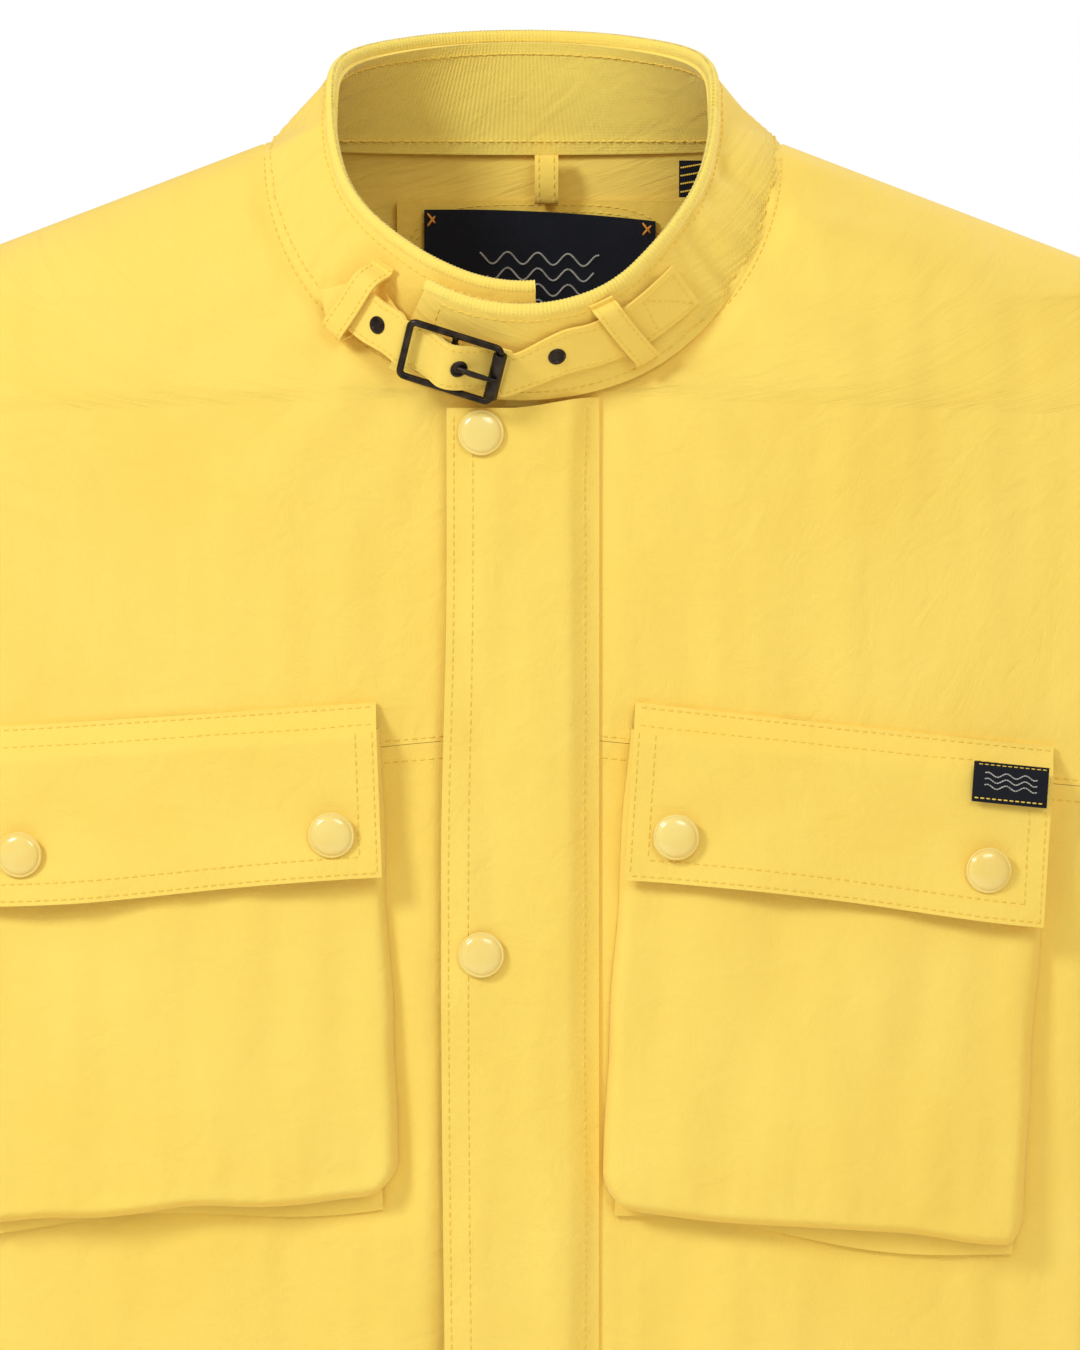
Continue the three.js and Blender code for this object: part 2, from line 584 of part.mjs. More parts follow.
function pocketPoint(pocket, a, b, stand) {
  const x = pocket.innerX - pocket.lean * b + a;
  const z = pocket.topZ - b - a * pocket.slope;
  return vec(pocket.side * x, frontY(x, z) - stand, z);
}

function pocketBag(pocket) {
  const wall = 1.5;
  const draft = 0.6;
  const columns = (inset) => [inset, inset + draft, 30, 55, 80, 105, 130, POCKET_WIDTH - inset - draft,
    POCKET_WIDTH - inset];
  const rows = (inset) => [12, 40, 75, 110, 150, pocket.drop - 14, pocket.drop - inset - draft, pocket.drop - inset];
  const layer = (inset, depth) => rows(inset).map((b, j) => columns(inset).map((a, i) => {
    const edge = i === 0 || i === 8 || j === 7;
    return pocketPoint(pocket, a, b, edge ? BAG_STAND : depth);
  }));
  return slab(layer(0, pocket.depth), layer(wall, pocket.depth - wall));
}

function pocketFlap(pocket) {
  const rise = pocket.depth + FLAP_RISE;
  const rises = [[0.5, 0.9], [8.5, rise], [28, rise], [46, rise], [FLAP_DEPTH, rise]];
  const layer = (thick) => rises.map(([b, stand]) => Array.from({ length: 9 }, (_, i) =>
    pocketPoint(pocket, (POCKET_WIDTH * i) / 8, b, stand + thick)));
  return slab(layer(FLAP_CLOTH), layer(0));
}

const pockets = [
  { name: "chest_left", side: 1, innerX: 42, topZ: -206.5, slope: 0.112, lean: 0.065, drop: 188, capB: 47,
    depth: CHEST_BAG_DEPTH },
  { name: "chest_right", side: -1, innerX: 54.5, topZ: -206.5, slope: 0.07, lean: 0.038, drop: 184, capB: 47,
    depth: CHEST_BAG_DEPTH },
  { name: "lower_left", side: 1, innerX: 46, topZ: -470, slope: 0.03, lean: 0, drop: 205, capB: 47,
    depth: LOWER_BAG_DEPTH },
  { name: "lower_right", side: -1, innerX: 46, topZ: -470, slope: 0.03, lean: 0, drop: 205, capB: 47,
    depth: LOWER_BAG_DEPTH },
];
for (const pocket of pockets) {
  add(`${pocket.name}_bag`, pocketBag(pocket), YELLOW);
  add(`${pocket.name}_flap`, pocketFlap(pocket), YELLOW);
  for (const [i, a] of [18, POCKET_WIDTH - 22].entries()) {
    const at = pocketPoint(pocket, a, pocket.capB, pocket.depth + FLAP_RISE + FLAP_CLOTH + GAP + 0.9);
    const beside = pocketPoint(pocket, a + 10, pocket.capB, 0).sub(pocketPoint(pocket, a - 10, pocket.capB, 0));
    const below = pocketPoint(pocket, a, pocket.capB + 10, 0).sub(pocketPoint(pocket, a, pocket.capB - 10, 0));
    const normal = beside.cross(below);
    if (normal.y > 0) normal.negate();
    facing(add(`${pocket.name}_snap_cap_${i + 1}`, capGeometry(), ENAMEL), at, normal);
  }
}

// Woven tab sewn to the top outer corner of the left chest flap
function pocketTabLabel() {
  const layer = (stand) => [4, 18].map((b) => [126, 140, 154].map((a) =>
    pocketPoint(pockets[0], a, b + 4, stand)));
  const stand = pockets[0].depth + FLAP_RISE + FLAP_CLOTH;
  return slab(layer(stand + 1.9), layer(stand + 1.1));
}
add("pocket_tab_label", pocketTabLabel(), BLACK_WEAVE);

// Inside the back of the neck: a lining patch, the neck label on it, the hanging loop and the size label
const NECK_MIDDLE = 6.5;
const lining = (x, z) => backY(x, z) - CLOTH;
function neckPatch(xHalf, zTop, zBottom, stand, thick) {
  const layer = (y) => grid(4, 7, (c, r) => {
    const x = NECK_MIDDLE + lerp(-xHalf, xHalf, c);
    const z = lerp(zTop, zBottom, r);
    return vec(x, lining(x, z) - y, z);
  });
  return slab(layer(stand), layer(stand + thick));
}
add("label_patch", neckPatch(55, -24, -96, 0.9, 0.8), YELLOW);

// The label is a flat board of woven tape, so that it keeps one plane
function neckLabel() {
  return new THREE.BoxGeometry(89, 1, 50);
}
add("neck_label", neckLabel(), BLACK_WEAVE).position.set(NECK_MIDDLE, 43.3, -52.5);

// A band of tape bent into a loop that stands open for a hook
function hangingLoop() {
  const ring = (grow) => grid(2, 17, (c, r) => {
    const angle = (c * 16 / 17) * 2 * Math.PI;
    const x = LOOP_AT.x + lerp(-4.5, 4.5, r);
    const y = LOOP_AT.y + (4 + grow) * Math.sin(angle);
    return vec(x, y, LOOP_AT.z - 9.1 + (9.1 + grow) * Math.cos(angle));
  });
  return slab(ring(0.9), ring(0), true);
}
add("hanging_loop", hangingLoop(), YELLOW);
add("size_label", new THREE.BoxGeometry(9, 1, 14), BLACK_WEAVE).position.set(64, 22, -14);

export default part;
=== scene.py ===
import math
from itertools import product

import bpy
import numpy as np
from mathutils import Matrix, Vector, noise


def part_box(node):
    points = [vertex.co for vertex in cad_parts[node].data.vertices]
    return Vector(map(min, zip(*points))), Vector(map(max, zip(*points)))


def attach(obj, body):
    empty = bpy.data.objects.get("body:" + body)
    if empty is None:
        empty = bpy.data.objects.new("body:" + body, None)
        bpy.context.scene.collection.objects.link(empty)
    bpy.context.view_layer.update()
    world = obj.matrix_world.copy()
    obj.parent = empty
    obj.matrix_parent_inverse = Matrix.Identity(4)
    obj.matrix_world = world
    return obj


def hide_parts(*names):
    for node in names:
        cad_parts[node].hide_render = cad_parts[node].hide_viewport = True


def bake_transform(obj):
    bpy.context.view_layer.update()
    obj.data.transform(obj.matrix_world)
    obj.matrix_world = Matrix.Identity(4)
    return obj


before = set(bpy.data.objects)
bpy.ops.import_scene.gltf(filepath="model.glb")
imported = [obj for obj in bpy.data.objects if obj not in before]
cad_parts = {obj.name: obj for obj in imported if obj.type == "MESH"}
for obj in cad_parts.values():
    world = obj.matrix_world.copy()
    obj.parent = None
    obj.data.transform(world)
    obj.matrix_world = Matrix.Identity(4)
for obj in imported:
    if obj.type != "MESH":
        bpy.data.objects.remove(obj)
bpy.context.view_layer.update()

# Driving sizes in millimetres, in the design frame: x = 0 in the middle of the front, z = 0 at the high shoulder
# point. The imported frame's origin is where a hook bears in the hanging loop.
LOOP_AT = np.array([9.0, 39.5, -5.4])
NECK_HALF_WIDTH = 97.0
NECK_DROP = 92.0
NECK_FRONT_DEPTH = 30.0
NECK_BACK_DEPTH = 50.0
CHEST_DEPTH = 60.0
CHEST_BACK_DEPTH = 65.0
BELLY_SLOPE = 63.8
ROUND = 2.0
SQUARE = 3.0
SHOULDER_SLOPE = 2.632
SHOULDER_TIP_Z = -56.0
ARMPIT_Z = -270.0
CHEST_HALF_WIDTH = 275.0
FRONT_EDGE = 6.0
HEM_Z = -730.0
YOKE_Z = -221.0
YOKE_FALL = 0.1
BACK_YOKE_Z = -165.0
FRONT_REACH = 48.0
BACK_REACH = 46.0
OVERLAP_LIFT = 6.0
FLAP_LEFT = -28.0
FLAP_RIGHT = 28.5
FLAP_STAND = 5.5
CLOTH = 2.5
CAP_RADIUS = 8.5
POCKET_WIDTH = 156.0
FLAP_DEPTH = 65.0
FLAP_RISE = 1.2
FLAP_CLOTH = 2.0
PANEL_THICK = 1.3


# Shape functions, on numbers or arrays
def smooth(start, end, x):
    t = np.clip((x - start) / (end - start), 0, 1)
    return t * t * (3 - 2 * t)


def mix(a, b, t):
    return a + (b - a) * t


def half_width(z):
    tip = NECK_HALF_WIDTH - SHOULDER_TIP_Z * SHOULDER_SLOPE
    low = mix(tip, CHEST_HALF_WIDTH, 1 - (1 - smooth(SHOULDER_TIP_Z, -130, z)) ** 2)
    return np.where(z > SHOULDER_TIP_Z, NECK_HALF_WIDTH - z * SHOULDER_SLOPE, low)


def exponent(z):
    """The power of a level's section: an ellipse at the neck, squarer over the chest."""
    return mix(ROUND, SQUARE, smooth(0, -120, z))


def front_depth(z):
    neck = mix(NECK_FRONT_DEPTH, CHEST_DEPTH, -z / NECK_DROP)
    return np.where(z > -NECK_DROP, neck, CHEST_DEPTH + (-z - NECK_DROP) / BELLY_SLOPE)


def back_depth(z):
    return mix(NECK_BACK_DEPTH, CHEST_BACK_DEPTH, smooth(0, -400, z))


def depth_at(x, z, depth):
    """How far the surface lies from the plane y = 0."""
    n = exponent(z)
    return depth * np.maximum(0, 1 - np.abs(x / half_width(z)) ** n) ** (1 / n)


def front_y(x, z):
    return -depth_at(x, z, front_depth(z))


def back_y(x, z):
    return depth_at(x, z, back_depth(z))


def armhole_x(z, depth, reach):
    """Where a panel ends at the armhole, an ellipse from the shoulder tip to the armpit, seen from the side."""
    middle = (SHOULDER_TIP_Z + ARMPIT_Z) / 2
    half = (SHOULDER_TIP_Z - ARMPIT_Z) / 2
    y = reach * np.sqrt(np.maximum(0, 1 - ((z - middle) / half) ** 2))
    n = exponent(z)
    return half_width(z) * np.maximum(0, 1 - (y / depth) ** n) ** (1 / n)


def outer_x(z, front):
    hole = armhole_x(z, front_depth(z), FRONT_REACH) if front else armhole_x(z, back_depth(z), BACK_REACH)
    return np.where((z > SHOULDER_TIP_Z) | (z < ARMPIT_Z), half_width(z), hole)


def inner_x(z):
    neck = NECK_HALF_WIDTH * np.sqrt(np.maximum(0, 1 - (z / NECK_DROP) ** 2))
    return np.where(z < -NECK_DROP, FRONT_EDGE, np.maximum(FRONT_EDGE, neck))


def spread(x_from, x_to, share, z, front):
    """Points of a level between two x values: even in x, and closing up where the section turns away."""
    n = exponent(z)
    w = half_width(z)
    angle = lambda x: np.sign(x) * np.arcsin(np.minimum(1, np.abs(x / w)) ** (n / 2))
    a = mix(angle(x_from), angle(x_to), share)
    round_x = np.sign(a) * w * np.abs(np.sin(a)) ** (2 / n)
    even_x = mix(x_from, x_to, share)
    off_middle = np.abs(2 * share - 1) if not front else share
    x = mix(even_x, round_x, smooth(0.35, 0.9, off_middle))
    return x, (front_y(x, z) if front else back_y(x, z))


def shares(cols, rows, start=0.0):
    """Shares across, from start to 1, and down, from 0 to 1, over a grid."""
    return np.meshgrid(np.linspace(start, 1, cols), np.linspace(0, 1, rows))


def ripple(points, size, seed):
    """Smooth noise from -1 to 1 over an array of points; size is its scale along x, y and z in millimetres."""
    flat = points.reshape(-1, 3) / np.asarray(size, float) + seed * 7.31
    values = np.fromiter((noise.noise(p) for p in flat.tolist()), float, len(flat))
    return values.reshape(points.shape[:-1])


def waves(points, *folds):
    """The sum of some folds, each a height in millimetres with a size and a seed for ripple."""
    return sum(height * ripple(points, size, seed) for height, size, seed in folds)


def metres(points):
    return (np.asarray(points, float) - LOOP_AT) / 1000


def unit(vectors):
    return vectors / np.linalg.norm(vectors, axis=-1, keepdims=True)


def run_along(points):
    """The distance run at each point of a line."""
    return np.concatenate([[0], np.cumsum(np.linalg.norm(np.diff(points, axis=0), axis=1))])


# Materials, all procedural
def add_node(tree, kind, sources=(), **values):
    made = tree.nodes.new(kind)
    for key, value in values.items():
        if key in made.inputs:
            made.inputs[key].default_value = value
        else:
            setattr(made, key, value)
    for key, source in dict(sources).items():
        tree.links.new(source, made.inputs[key])
    return made


class Surface:
    """A material and its principled shader; add makes a node, with some of its inputs linked to outputs."""

    def __init__(self, name, roughness, **values):
        self.material = bpy.data.materials.new(name)
        self.material.use_nodes = True
        self.tree = self.material.node_tree
        self.shader = self.tree.nodes["Principled BSDF"]
        for key, value in dict(values, Roughness=roughness).items():
            self.shader.inputs[key.replace("_", " ")].default_value = value

    def add(self, kind, sources=(), **values):
        return add_node(self.tree, kind, sources, **values)

    def colour(self, source, low, high):
        ramp = self.add("ShaderNodeValToRGB", {"Fac": source})
        for element, position, tint in zip(ramp.color_ramp.elements, (0.35, 0.65), (low, high)):
            element.position, element.color = position, (*tint, 1)
        self.tree.links.new(ramp.outputs["Color"], self.shader.inputs["Base Color"])

    def bump(self, height, strength, distance, over=None):
        sources = {"Height": height, **({"Normal": over.outputs["Normal"]} if over else {})}
        return self.add("ShaderNodeBump", sources, Strength=strength, Distance=distance)

    def use_bump(self, made):
        self.tree.links.new(made.outputs["Normal"], self.shader.inputs["Normal"])


def cloth_material(name, low, high, threads=420, strength=0.35, roughness=0.78, sheen=0.15):
    """A plain weave with slubs over a crumpled surface, on the cloth's own UVs, which are in metres."""
    surface = Surface(name, roughness, Sheen_Weight=sheen, Specular_IOR_Level=0.25)
    uv = surface.add("ShaderNodeUVMap", uv_map="cloth").outputs["UV"]
    blotch = surface.add("ShaderNodeTexNoise", {"Vector": uv}, Scale=9.0, Detail=5.0, Roughness=0.6)
    surface.colour(blotch.outputs["Fac"], low, high)
    warp, weft = (surface.add("ShaderNodeTexWave", {"Vector": uv}, wave_type="BANDS", bands_direction=way,
                              Scale=threads, Distortion=0.6, Detail=1) for way in "XY")
    both = surface.add("ShaderNodeMath", {0: warp.outputs["Fac"], 1: weft.outputs["Fac"]}, operation="MAXIMUM")
    slub = surface.add("ShaderNodeTexNoise", {"Vector": uv}, Scale=420.0, Detail=3.0)
    crumple = surface.add("ShaderNodeTexNoise", {"Vector": uv}, Scale=70.0, Detail=4.0, Roughness=0.55, Distortion=0.8)
    creased = surface.bump(crumple.outputs["Fac"], 0.6, 0.0014)
    height = surface.add("ShaderNodeMath", {0: slub.outputs["Fac"], 2: both.outputs[0]}, operation="MULTIPLY_ADD")
    height.inputs[1].default_value = 0.5
    surface.use_bump(surface.bump(height.outputs[0], strength, 0.00012, creased))
    return surface.material


def spotted_material(name, low, high, scale, roughness, bump, **values):
    """Metal, enamel and thread: object-space noise for the colour and a fine surface."""
    surface = Surface(name, roughness, **values)
    place = surface.add("ShaderNodeTexCoord").outputs["Object"]
    grain = surface.add("ShaderNodeTexNoise", {"Vector": place}, Scale=scale, Detail=4.0).outputs["Fac"]
    surface.colour(grain, low, high)
    surface.use_bump(surface.bump(grain, bump, 0.0002))
    return surface.material


YELLOW = cloth_material("yellow_cloth", (0.95, 0.665, 0.112), (0.975, 0.70, 0.136))
LINING = cloth_material("yellow_lining", (0.95, 0.63, 0.095), (0.97, 0.66, 0.11))
KNIT = cloth_material("rib_knit", (0.98, 0.72, 0.13), (0.99, 0.76, 0.15), threads=260, strength=0.7, roughness=0.9,
                      sheen=0.3)
BLACK = cloth_material("black_weave", (0.006, 0.007, 0.012), (0.014, 0.015, 0.02), threads=600, strength=0.6,
                       roughness=0.9, sheen=0.0)
ENAMEL = spotted_material("yellow_enamel", (0.92, 0.66, 0.15), (0.94, 0.72, 0.21), 60, 0.22, 0.05, Coat_Weight=0.8,
                          Coat_Roughness=0.16)
DARK_METAL = spotted_material("dark_metal", (0.02, 0.015, 0.012), (0.055, 0.04, 0.03), 220, 0.34, 0.25, Metallic=0.85)
ZIP_METAL = spotted_material("zip_metal", (0.25, 0.22, 0.18), (0.4, 0.36, 0.3), 300, 0.35, 0.15, Metallic=1.0)
THREAD = spotted_material("yellow_thread", (0.86, 0.58, 0.07), (0.92, 0.64, 0.10), 500, 0.7, 0.3)
ORANGE_THREAD = spotted_material("orange_thread", (0.75, 0.27, 0.02), (0.85, 0.36, 0.04), 500, 0.7, 0.3)
GREY_THREAD = spotted_material("grey_thread", (0.36, 0.34, 0.30), (0.55, 0.53, 0.48), 500, 0.6, 0.3)


# Meshes, and what each piece rides on and stands for
def lengths(grid):
    """Arc lengths along the rows and the columns of a grid, in millimetres."""
    across = np.linalg.norm(np.diff(grid, axis=1), axis=-1)
    down = np.linalg.norm(np.diff(grid, axis=0), axis=-1)
    u = np.concatenate([np.zeros((grid.shape[0], 1)), np.cumsum(across, 1)], 1)
    v = np.concatenate([np.zeros((1, grid.shape[1])), np.cumsum(down, 0)], 0)
    return u, v


def normals_of(grid, closed=False):
    if closed:
        across = np.roll(grid, -1, 1) - np.roll(grid, 1, 1)
    else:
        across = np.gradient(grid, axis=1)
    down = np.gradient(grid, axis=0)
    n = np.cross(across, down)
    return n / np.maximum(np.linalg.norm(n, axis=-1, keepdims=True), 1e-9)


def facing_out(grid, centre, closed=False):
    n = normals_of(grid, closed)
    if np.sum(n * (grid - centre)) < 0:
        n = -n
    return n


def mesh_object(name, points, faces, material, uv=None, sharp=50):
    mesh = bpy.data.meshes.new(name)
    mesh.from_pydata(metres(points).tolist(), [], faces)
    mesh.validate()
    if uv is not None:
        layer = mesh.uv_layers.new(name="cloth")
        index = np.empty(len(mesh.loops), np.int32)
        mesh.loops.foreach_get("vertex_index", index)
        layer.data.foreach_set("uv", np.asarray(uv, np.float32)[index].ravel())
    mesh.polygons.foreach_set("use_smooth", [True] * len(mesh.polygons))
    mesh.set_sharp_from_angle(angle=math.radians(sharp))
    mesh.materials.append(material)
    piece = bpy.data.objects.new(name, mesh)
    bpy.context.collection.objects.link(piece)
    return piece


def declare(piece, body, slot, *nodes):
    """Attaches a piece to its body, when it has one, and hides the CAD solids that it stands for; a piece with no body
    is left unattached.
    """
    if body:
        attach(piece, body)
    if nodes:
        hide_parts(*nodes)
    return piece


def blend_across(piece, start, end, body):
    tuple(metres(start))
    tuple(metres(end))
    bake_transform(piece)


class Sheet:
    """A cloth piece on a grid: its outer face, its normals, and the closed slab that is made of them."""

    def __init__(self, grid, centre, closed=False):
        self.flat = grid
        self.closed = closed
        self.centre = np.asarray(centre, float)
        self.normals = facing_out(grid, self.centre, closed)
        self.grid = grid.copy()

    def displace(self, amount):
        self.grid = self.grid + self.normals * amount[..., None]
        return self

    def at(self, u, v):
        """The points and the normals of the displaced face at shares u across it and v down it."""
        rows, cols = self.grid.shape[:2]
        x = np.clip(np.asarray(u, float), 0, 1) * (cols - 1)
        y = np.clip(np.asarray(v, float), 0, 1) * (rows - 1)
        i, j = np.minimum(x.astype(int), cols - 2), np.minimum(y.astype(int), rows - 2)
        s, t = (x - i)[..., None], (y - j)[..., None]

        def blend(a):
            top = a[j, i] * (1 - s) + a[j, i + 1] * s
            low = a[j + 1, i] * (1 - s) + a[j + 1, i + 1] * s
            return top * (1 - t) + low * t
        n = blend(facing_out(self.grid, self.centre, self.closed))
        return blend(self.grid), unit(n)

    def line(self, start, end, count):
        t = np.linspace(0, 1, count)
        return self.at(mix(start[0], end[0], t), mix(start[1], end[1], t))

    def make(self, name, material, thickness):
        rows, cols = self.grid.shape[:2]
        inner = self.grid - self.normals * thickness
        points = np.concatenate([self.grid.reshape(-1, 3), inner.reshape(-1, 3)])
        u, v = lengths(self.flat)
        uv = np.tile(np.stack([u.ravel(), v.ravel()], -1) / 1000, (2, 1))
        at = lambda side, j, i: side * rows * cols + j * cols + i % cols
        spans = cols if self.closed else cols - 1
        faces = []
        for j, i in product(range(rows - 1), range(spans)):
            faces.append((at(0, j, i), at(0, j, i + 1), at(0, j + 1, i + 1), at(0, j + 1, i)))
            faces.append((at(1, j, i), at(1, j + 1, i), at(1, j + 1, i + 1), at(1, j, i + 1)))
        for i, j in product(range(spans), (0, rows - 1)):
            quad = (at(0, j, i), at(1, j, i), at(1, j, i + 1), at(0, j, i + 1))
            faces.append(quad if j == 0 else quad[::-1])
        if not self.closed:
            for j, i in product(range(rows - 1), (0, cols - 1)):
                quad = (at(0, j, i), at(0, j + 1, i), at(1, j + 1, i), at(1, j, i))
                faces.append(quad if i == 0 else quad[::-1])
        corner = points[np.array(faces)]
        turned = np.cross(corner[:, 1] - corner[:, 0], corner[:, 3] - corner[:, 0])
        if np.sum(turned * (corner[:, 0] - points.mean(0))) < 0:
            faces = [f[::-1] for f in faces]
        return mesh_object(name, points, faces, material, uv)

    def cut(self):
        """The flat width and length in metres, at least 10 mm each, and the flat area in square metres."""
        u, v = lengths(self.flat)
        across, down = np.diff(self.flat, axis=1)[:-1], np.diff(self.flat, axis=0)[:, :-1]
        area = np.linalg.norm(np.cross(across, down), axis=-1).sum()
        width, length = max(10.0, float(u[:, -1].max())), max(10.0, float(v[-1].max()))
        return (width / 1000, length / 1000), min(area / 1e6, width * length / 1e6)

    def cloth(self, name, *nodes, material=YELLOW, thickness=PANEL_THICK, body="jacket", slot="shell_cloth"):
        piece = declare(self.make(name, material, thickness), body, slot, *nodes)
        flat, area = self.cut()
        return piece


def pucker(along, away, reach=7.0, height=0.35, pitch=8.5, seed=0):
    """Small gathers beside a seam: along is the distance run and away the distance from it, in millimetres."""
    wave = np.sin(2 * math.pi * along / pitch + 2.4 * np.sin(along / 23 + seed))
    return height * wave * np.exp(-away / reach) * smooth(0, 1.5, away)


def tube_faces(rings, sides, first=0):
    """Faces of a closed tube whose points run ring by ring, with a cap at either end."""
    faces = []
    for r, k in product(range(rings - 1), range(sides)):
        p, q = first + r * sides + k, first + r * sides + (k + 1) % sides
        faces.append((p, q, q + sides, p + sides))
    last = first + (rings - 1) * sides
    return faces + [tuple(first + k for k in reversed(range(sides))), tuple(last + k for k in range(sides))]


# Stitches: short raised threads, each a tube on rings of (share of the length, share of the radius, rise in radii)
STITCH_PITCH = 3.3
STITCH_LENGTH = 2.5
STITCH_RADIUS = 0.3
STITCH_SIDES = 6
STITCH_RINGS = ((-0.5, 0.25, -0.35), (-0.3, 0.9, 0.25), (0.3, 0.9, 0.25), (0.5, 0.25, -0.35))


class Seam:
    """All the stitches of one piece, gathered into one mesh."""

    def __init__(self):
        self.points = []
        self.faces = []

    def row(self, line, pitch=STITCH_PITCH, length=STITCH_LENGTH, radius=STITCH_RADIUS):
        """Stitches along a line, which is its points and its normals."""
        points, normals = line
        run = run_along(points)
        if run[-1] < pitch:
            return self
        centres = np.arange(pitch / 2, run[-1], pitch)
        place = lambda s, a: np.stack([np.interp(s, run, a[:, k]) for k in range(3)], -1)
        middle = place(centres, points)
        ahead = place(np.minimum(centres + 0.5, run[-1]), points) - place(np.maximum(centres - 0.5, 0), points)
        ahead /= np.maximum(np.linalg.norm(ahead, axis=1, keepdims=True), 1e-9)
        up = unit(place(centres, normals))
        for m, a, u, s in zip(middle, ahead, up, np.cross(up, ahead)):
            self.faces += tube_faces(len(STITCH_RINGS), STITCH_SIDES, len(self.points))
            for (along, width, rise), k in product(STITCH_RINGS, range(STITCH_SIDES)):
                angle = 2 * math.pi * k / STITCH_SIDES
                offset = s * math.cos(angle) * radius * width + u * math.sin(angle) * radius * width
                self.points.append(m + a * along * length + offset + u * rise * radius)
        return self

    def across(self, sheet, levels, count, start=0.0, end=1.0, **thread):
        """Rows across a sheet, one at each of its levels."""
        for v in levels:
            self.row(sheet.line((start, v), (end, v), count), **thread)
        return self

    def down(self, sheet, places, count, start=0.0, end=1.0, **thread):
        """Rows down a sheet, one at each place across it."""
        for u in places:
            self.row(sheet.line((u, start), (u, end), count), **thread)
        return self

    def make(self, name, material=THREAD, body="jacket", slot="shell_cloth"):
        piece = mesh_object(name, np.array(self.points), self.faces, material, sharp=70)
        return declare(piece, body, slot)


# Pockets' places on a front, which the folds and the flaps both follow
POCKETS = [
    dict(name="chest_left", depth=9.0, side=1, inner=42.0, top=-206.5, slope=0.112, lean=0.065, drop=188.0),
    dict(name="chest_right", depth=9.0, side=-1, inner=54.5, top=-206.5, slope=0.07, lean=0.038, drop=184.0),
    dict(name="lower_left", depth=12.0, side=1, inner=46.0, top=-470.0, slope=0.03, lean=0.0, drop=205.0),
    dict(name="lower_right", depth=12.0, side=-1, inner=46.0, top=-470.0, slope=0.03, lean=0.0, drop=205.0),
]


# The trunk: two yokes and two panels in front, a yoke and a panel behind
TRUNK_FOLDS = 1.6
BACK_FOLDS = 0.75
SEAM_REACH = 14.0


def under_pieces(x, z):
    """1 where a pocket or the storm flap lies on a front, and its folds are pressed flat; 0 in the open."""
    cover = smooth(FLAP_LEFT - 8, FLAP_LEFT, x) * smooth(FLAP_RIGHT + 8, FLAP_RIGHT, x)
    for pocket in POCKETS:
        a = pocket["side"] * x - pocket["inner"]
        b = pocket["top"] - z - a * pocket["slope"]
        a = a + pocket["lean"] * b
        wide = smooth(-12, -1, a) * smooth(POCKET_WIDTH + 12, POCKET_WIDTH + 1, a)
        cover = np.maximum(cover, wide * smooth(-10, 0, b) * smooth(pocket["drop"] + 16, pocket["drop"] + 6, b))
    return cover


def trunk_folds(points, front):
    """Fold heights, which depend on the place alone, so that the panels meet at their seams."""
    x, z = points[..., 0], points[..., 2]
    broad = 2.2 * ripple(points, (95, 200, 150), 1)
    creases = waves(points, (1.3, (24, 60, 130), 2), (0.7, (11, 40, 70), 3))
    body = smooth(-150, -260, z)
    drape = 2.2 * body * ripple(points, (42, 90, 400), 5)
    shoulder = 1 - smooth(-40, -150, z)
    radius = np.hypot(x / NECK_HALF_WIDTH, (z / NECK_DROP))
    around = np.degrees(np.arctan2(x, -z))
    rays = np.stack([around * 2.2, 40 * radius, 0 * radius], -1)
    drag = 2.6 * ripple(rays, (22, 60, 1), 7) * smooth(1.0, 1.12, radius) * (1 - smooth(1.25, 2.2, radius))
    amount = broad + creases * mix(0.5, 1.0, body) + drape + (drag if front else 0.4 * drag) * mix(0.4, 1, shoulder)
    amount = amount * (1 if front else BACK_FOLDS)
    edge = smooth(0, SEAM_REACH, np.abs(x) - np.where(z < -NECK_DROP, FRONT_EDGE, 0)) if front else 1
    top = smooth(1.0, 1.1, radius) if front else smooth(0, -12, z)
    seams = smooth(0, SEAM_REACH, np.abs(points[..., 1])) * smooth(0, 16, outer_x(z, front) - np.abs(x))
    amount = amount * edge * top * seams * TRUNK_FOLDS
    return mix(amount, np.minimum(amount * 0.4, 0.3), under_pieces(x, z)) if front else amount


def yoke_seam_z(x):
    return YOKE_Z - YOKE_FALL * np.maximum(0, x - FLAP_RIGHT)


def front_grid(side, top, bottom, rows, cols):
    c, r = shares(cols, rows)
    x = np.full_like(c, 60.0)
    for _ in range(5):
        z = mix(top(x), bottom(x), r)
        x, y = spread(inner_x(z), outer_x(z, True), c, z, True)
    return np.stack([side * x, np.minimum(y, -0.3), z], -1)


def front_panels():
    for side, word in ((1, "left"), (-1, "right")):
        grid = front_grid(side, lambda x: 0 * x - 0.6, lambda x: yoke_seam_z(x) + 0.1, 130, 130)
        yoke = Sheet(grid, (0, 30, -150))
        u, v = lengths(grid)
        yoke.displace(trunk_folds(grid, True) + pucker(u, v[-1] - v, seed=side))
        yoke.cloth(f"front_{word}_yoke_cloth", f"front_{word}_yoke")
        grid = front_grid(side, lambda x: yoke_seam_z(x) - 0.1, lambda x: 0 * x + HEM_Z, 190, 130)
        panel = Sheet(grid, (0, 30, -480))
        u, v = lengths(grid)
        gathers = pucker(u, v, seed=side + 3) + pucker(u, v[-1] - v, height=0.5, seed=side)
        panel.displace(trunk_folds(grid, True) + gathers)
        panel.cloth(f"front_{word}_panel_cloth", f"front_{word}_panel")
        stitches = Seam().across(yoke, (0.992,), 900).across(panel, (0.012, 0.962, 0.993), 900)
        stitches.down(yoke, (0.012,), 500, 0.02, 0.41).make(f"front_{word}_stitches")


def back_grid(top, bottom, rows, cols):
    c, r = shares(cols, rows)
    z = mix(top(c), bottom, r)
    edge = outer_x(z, False)
    x, y = spread(-edge, edge, c, z, False)
    return np.stack([x, np.maximum(y, 0.3), z], -1)


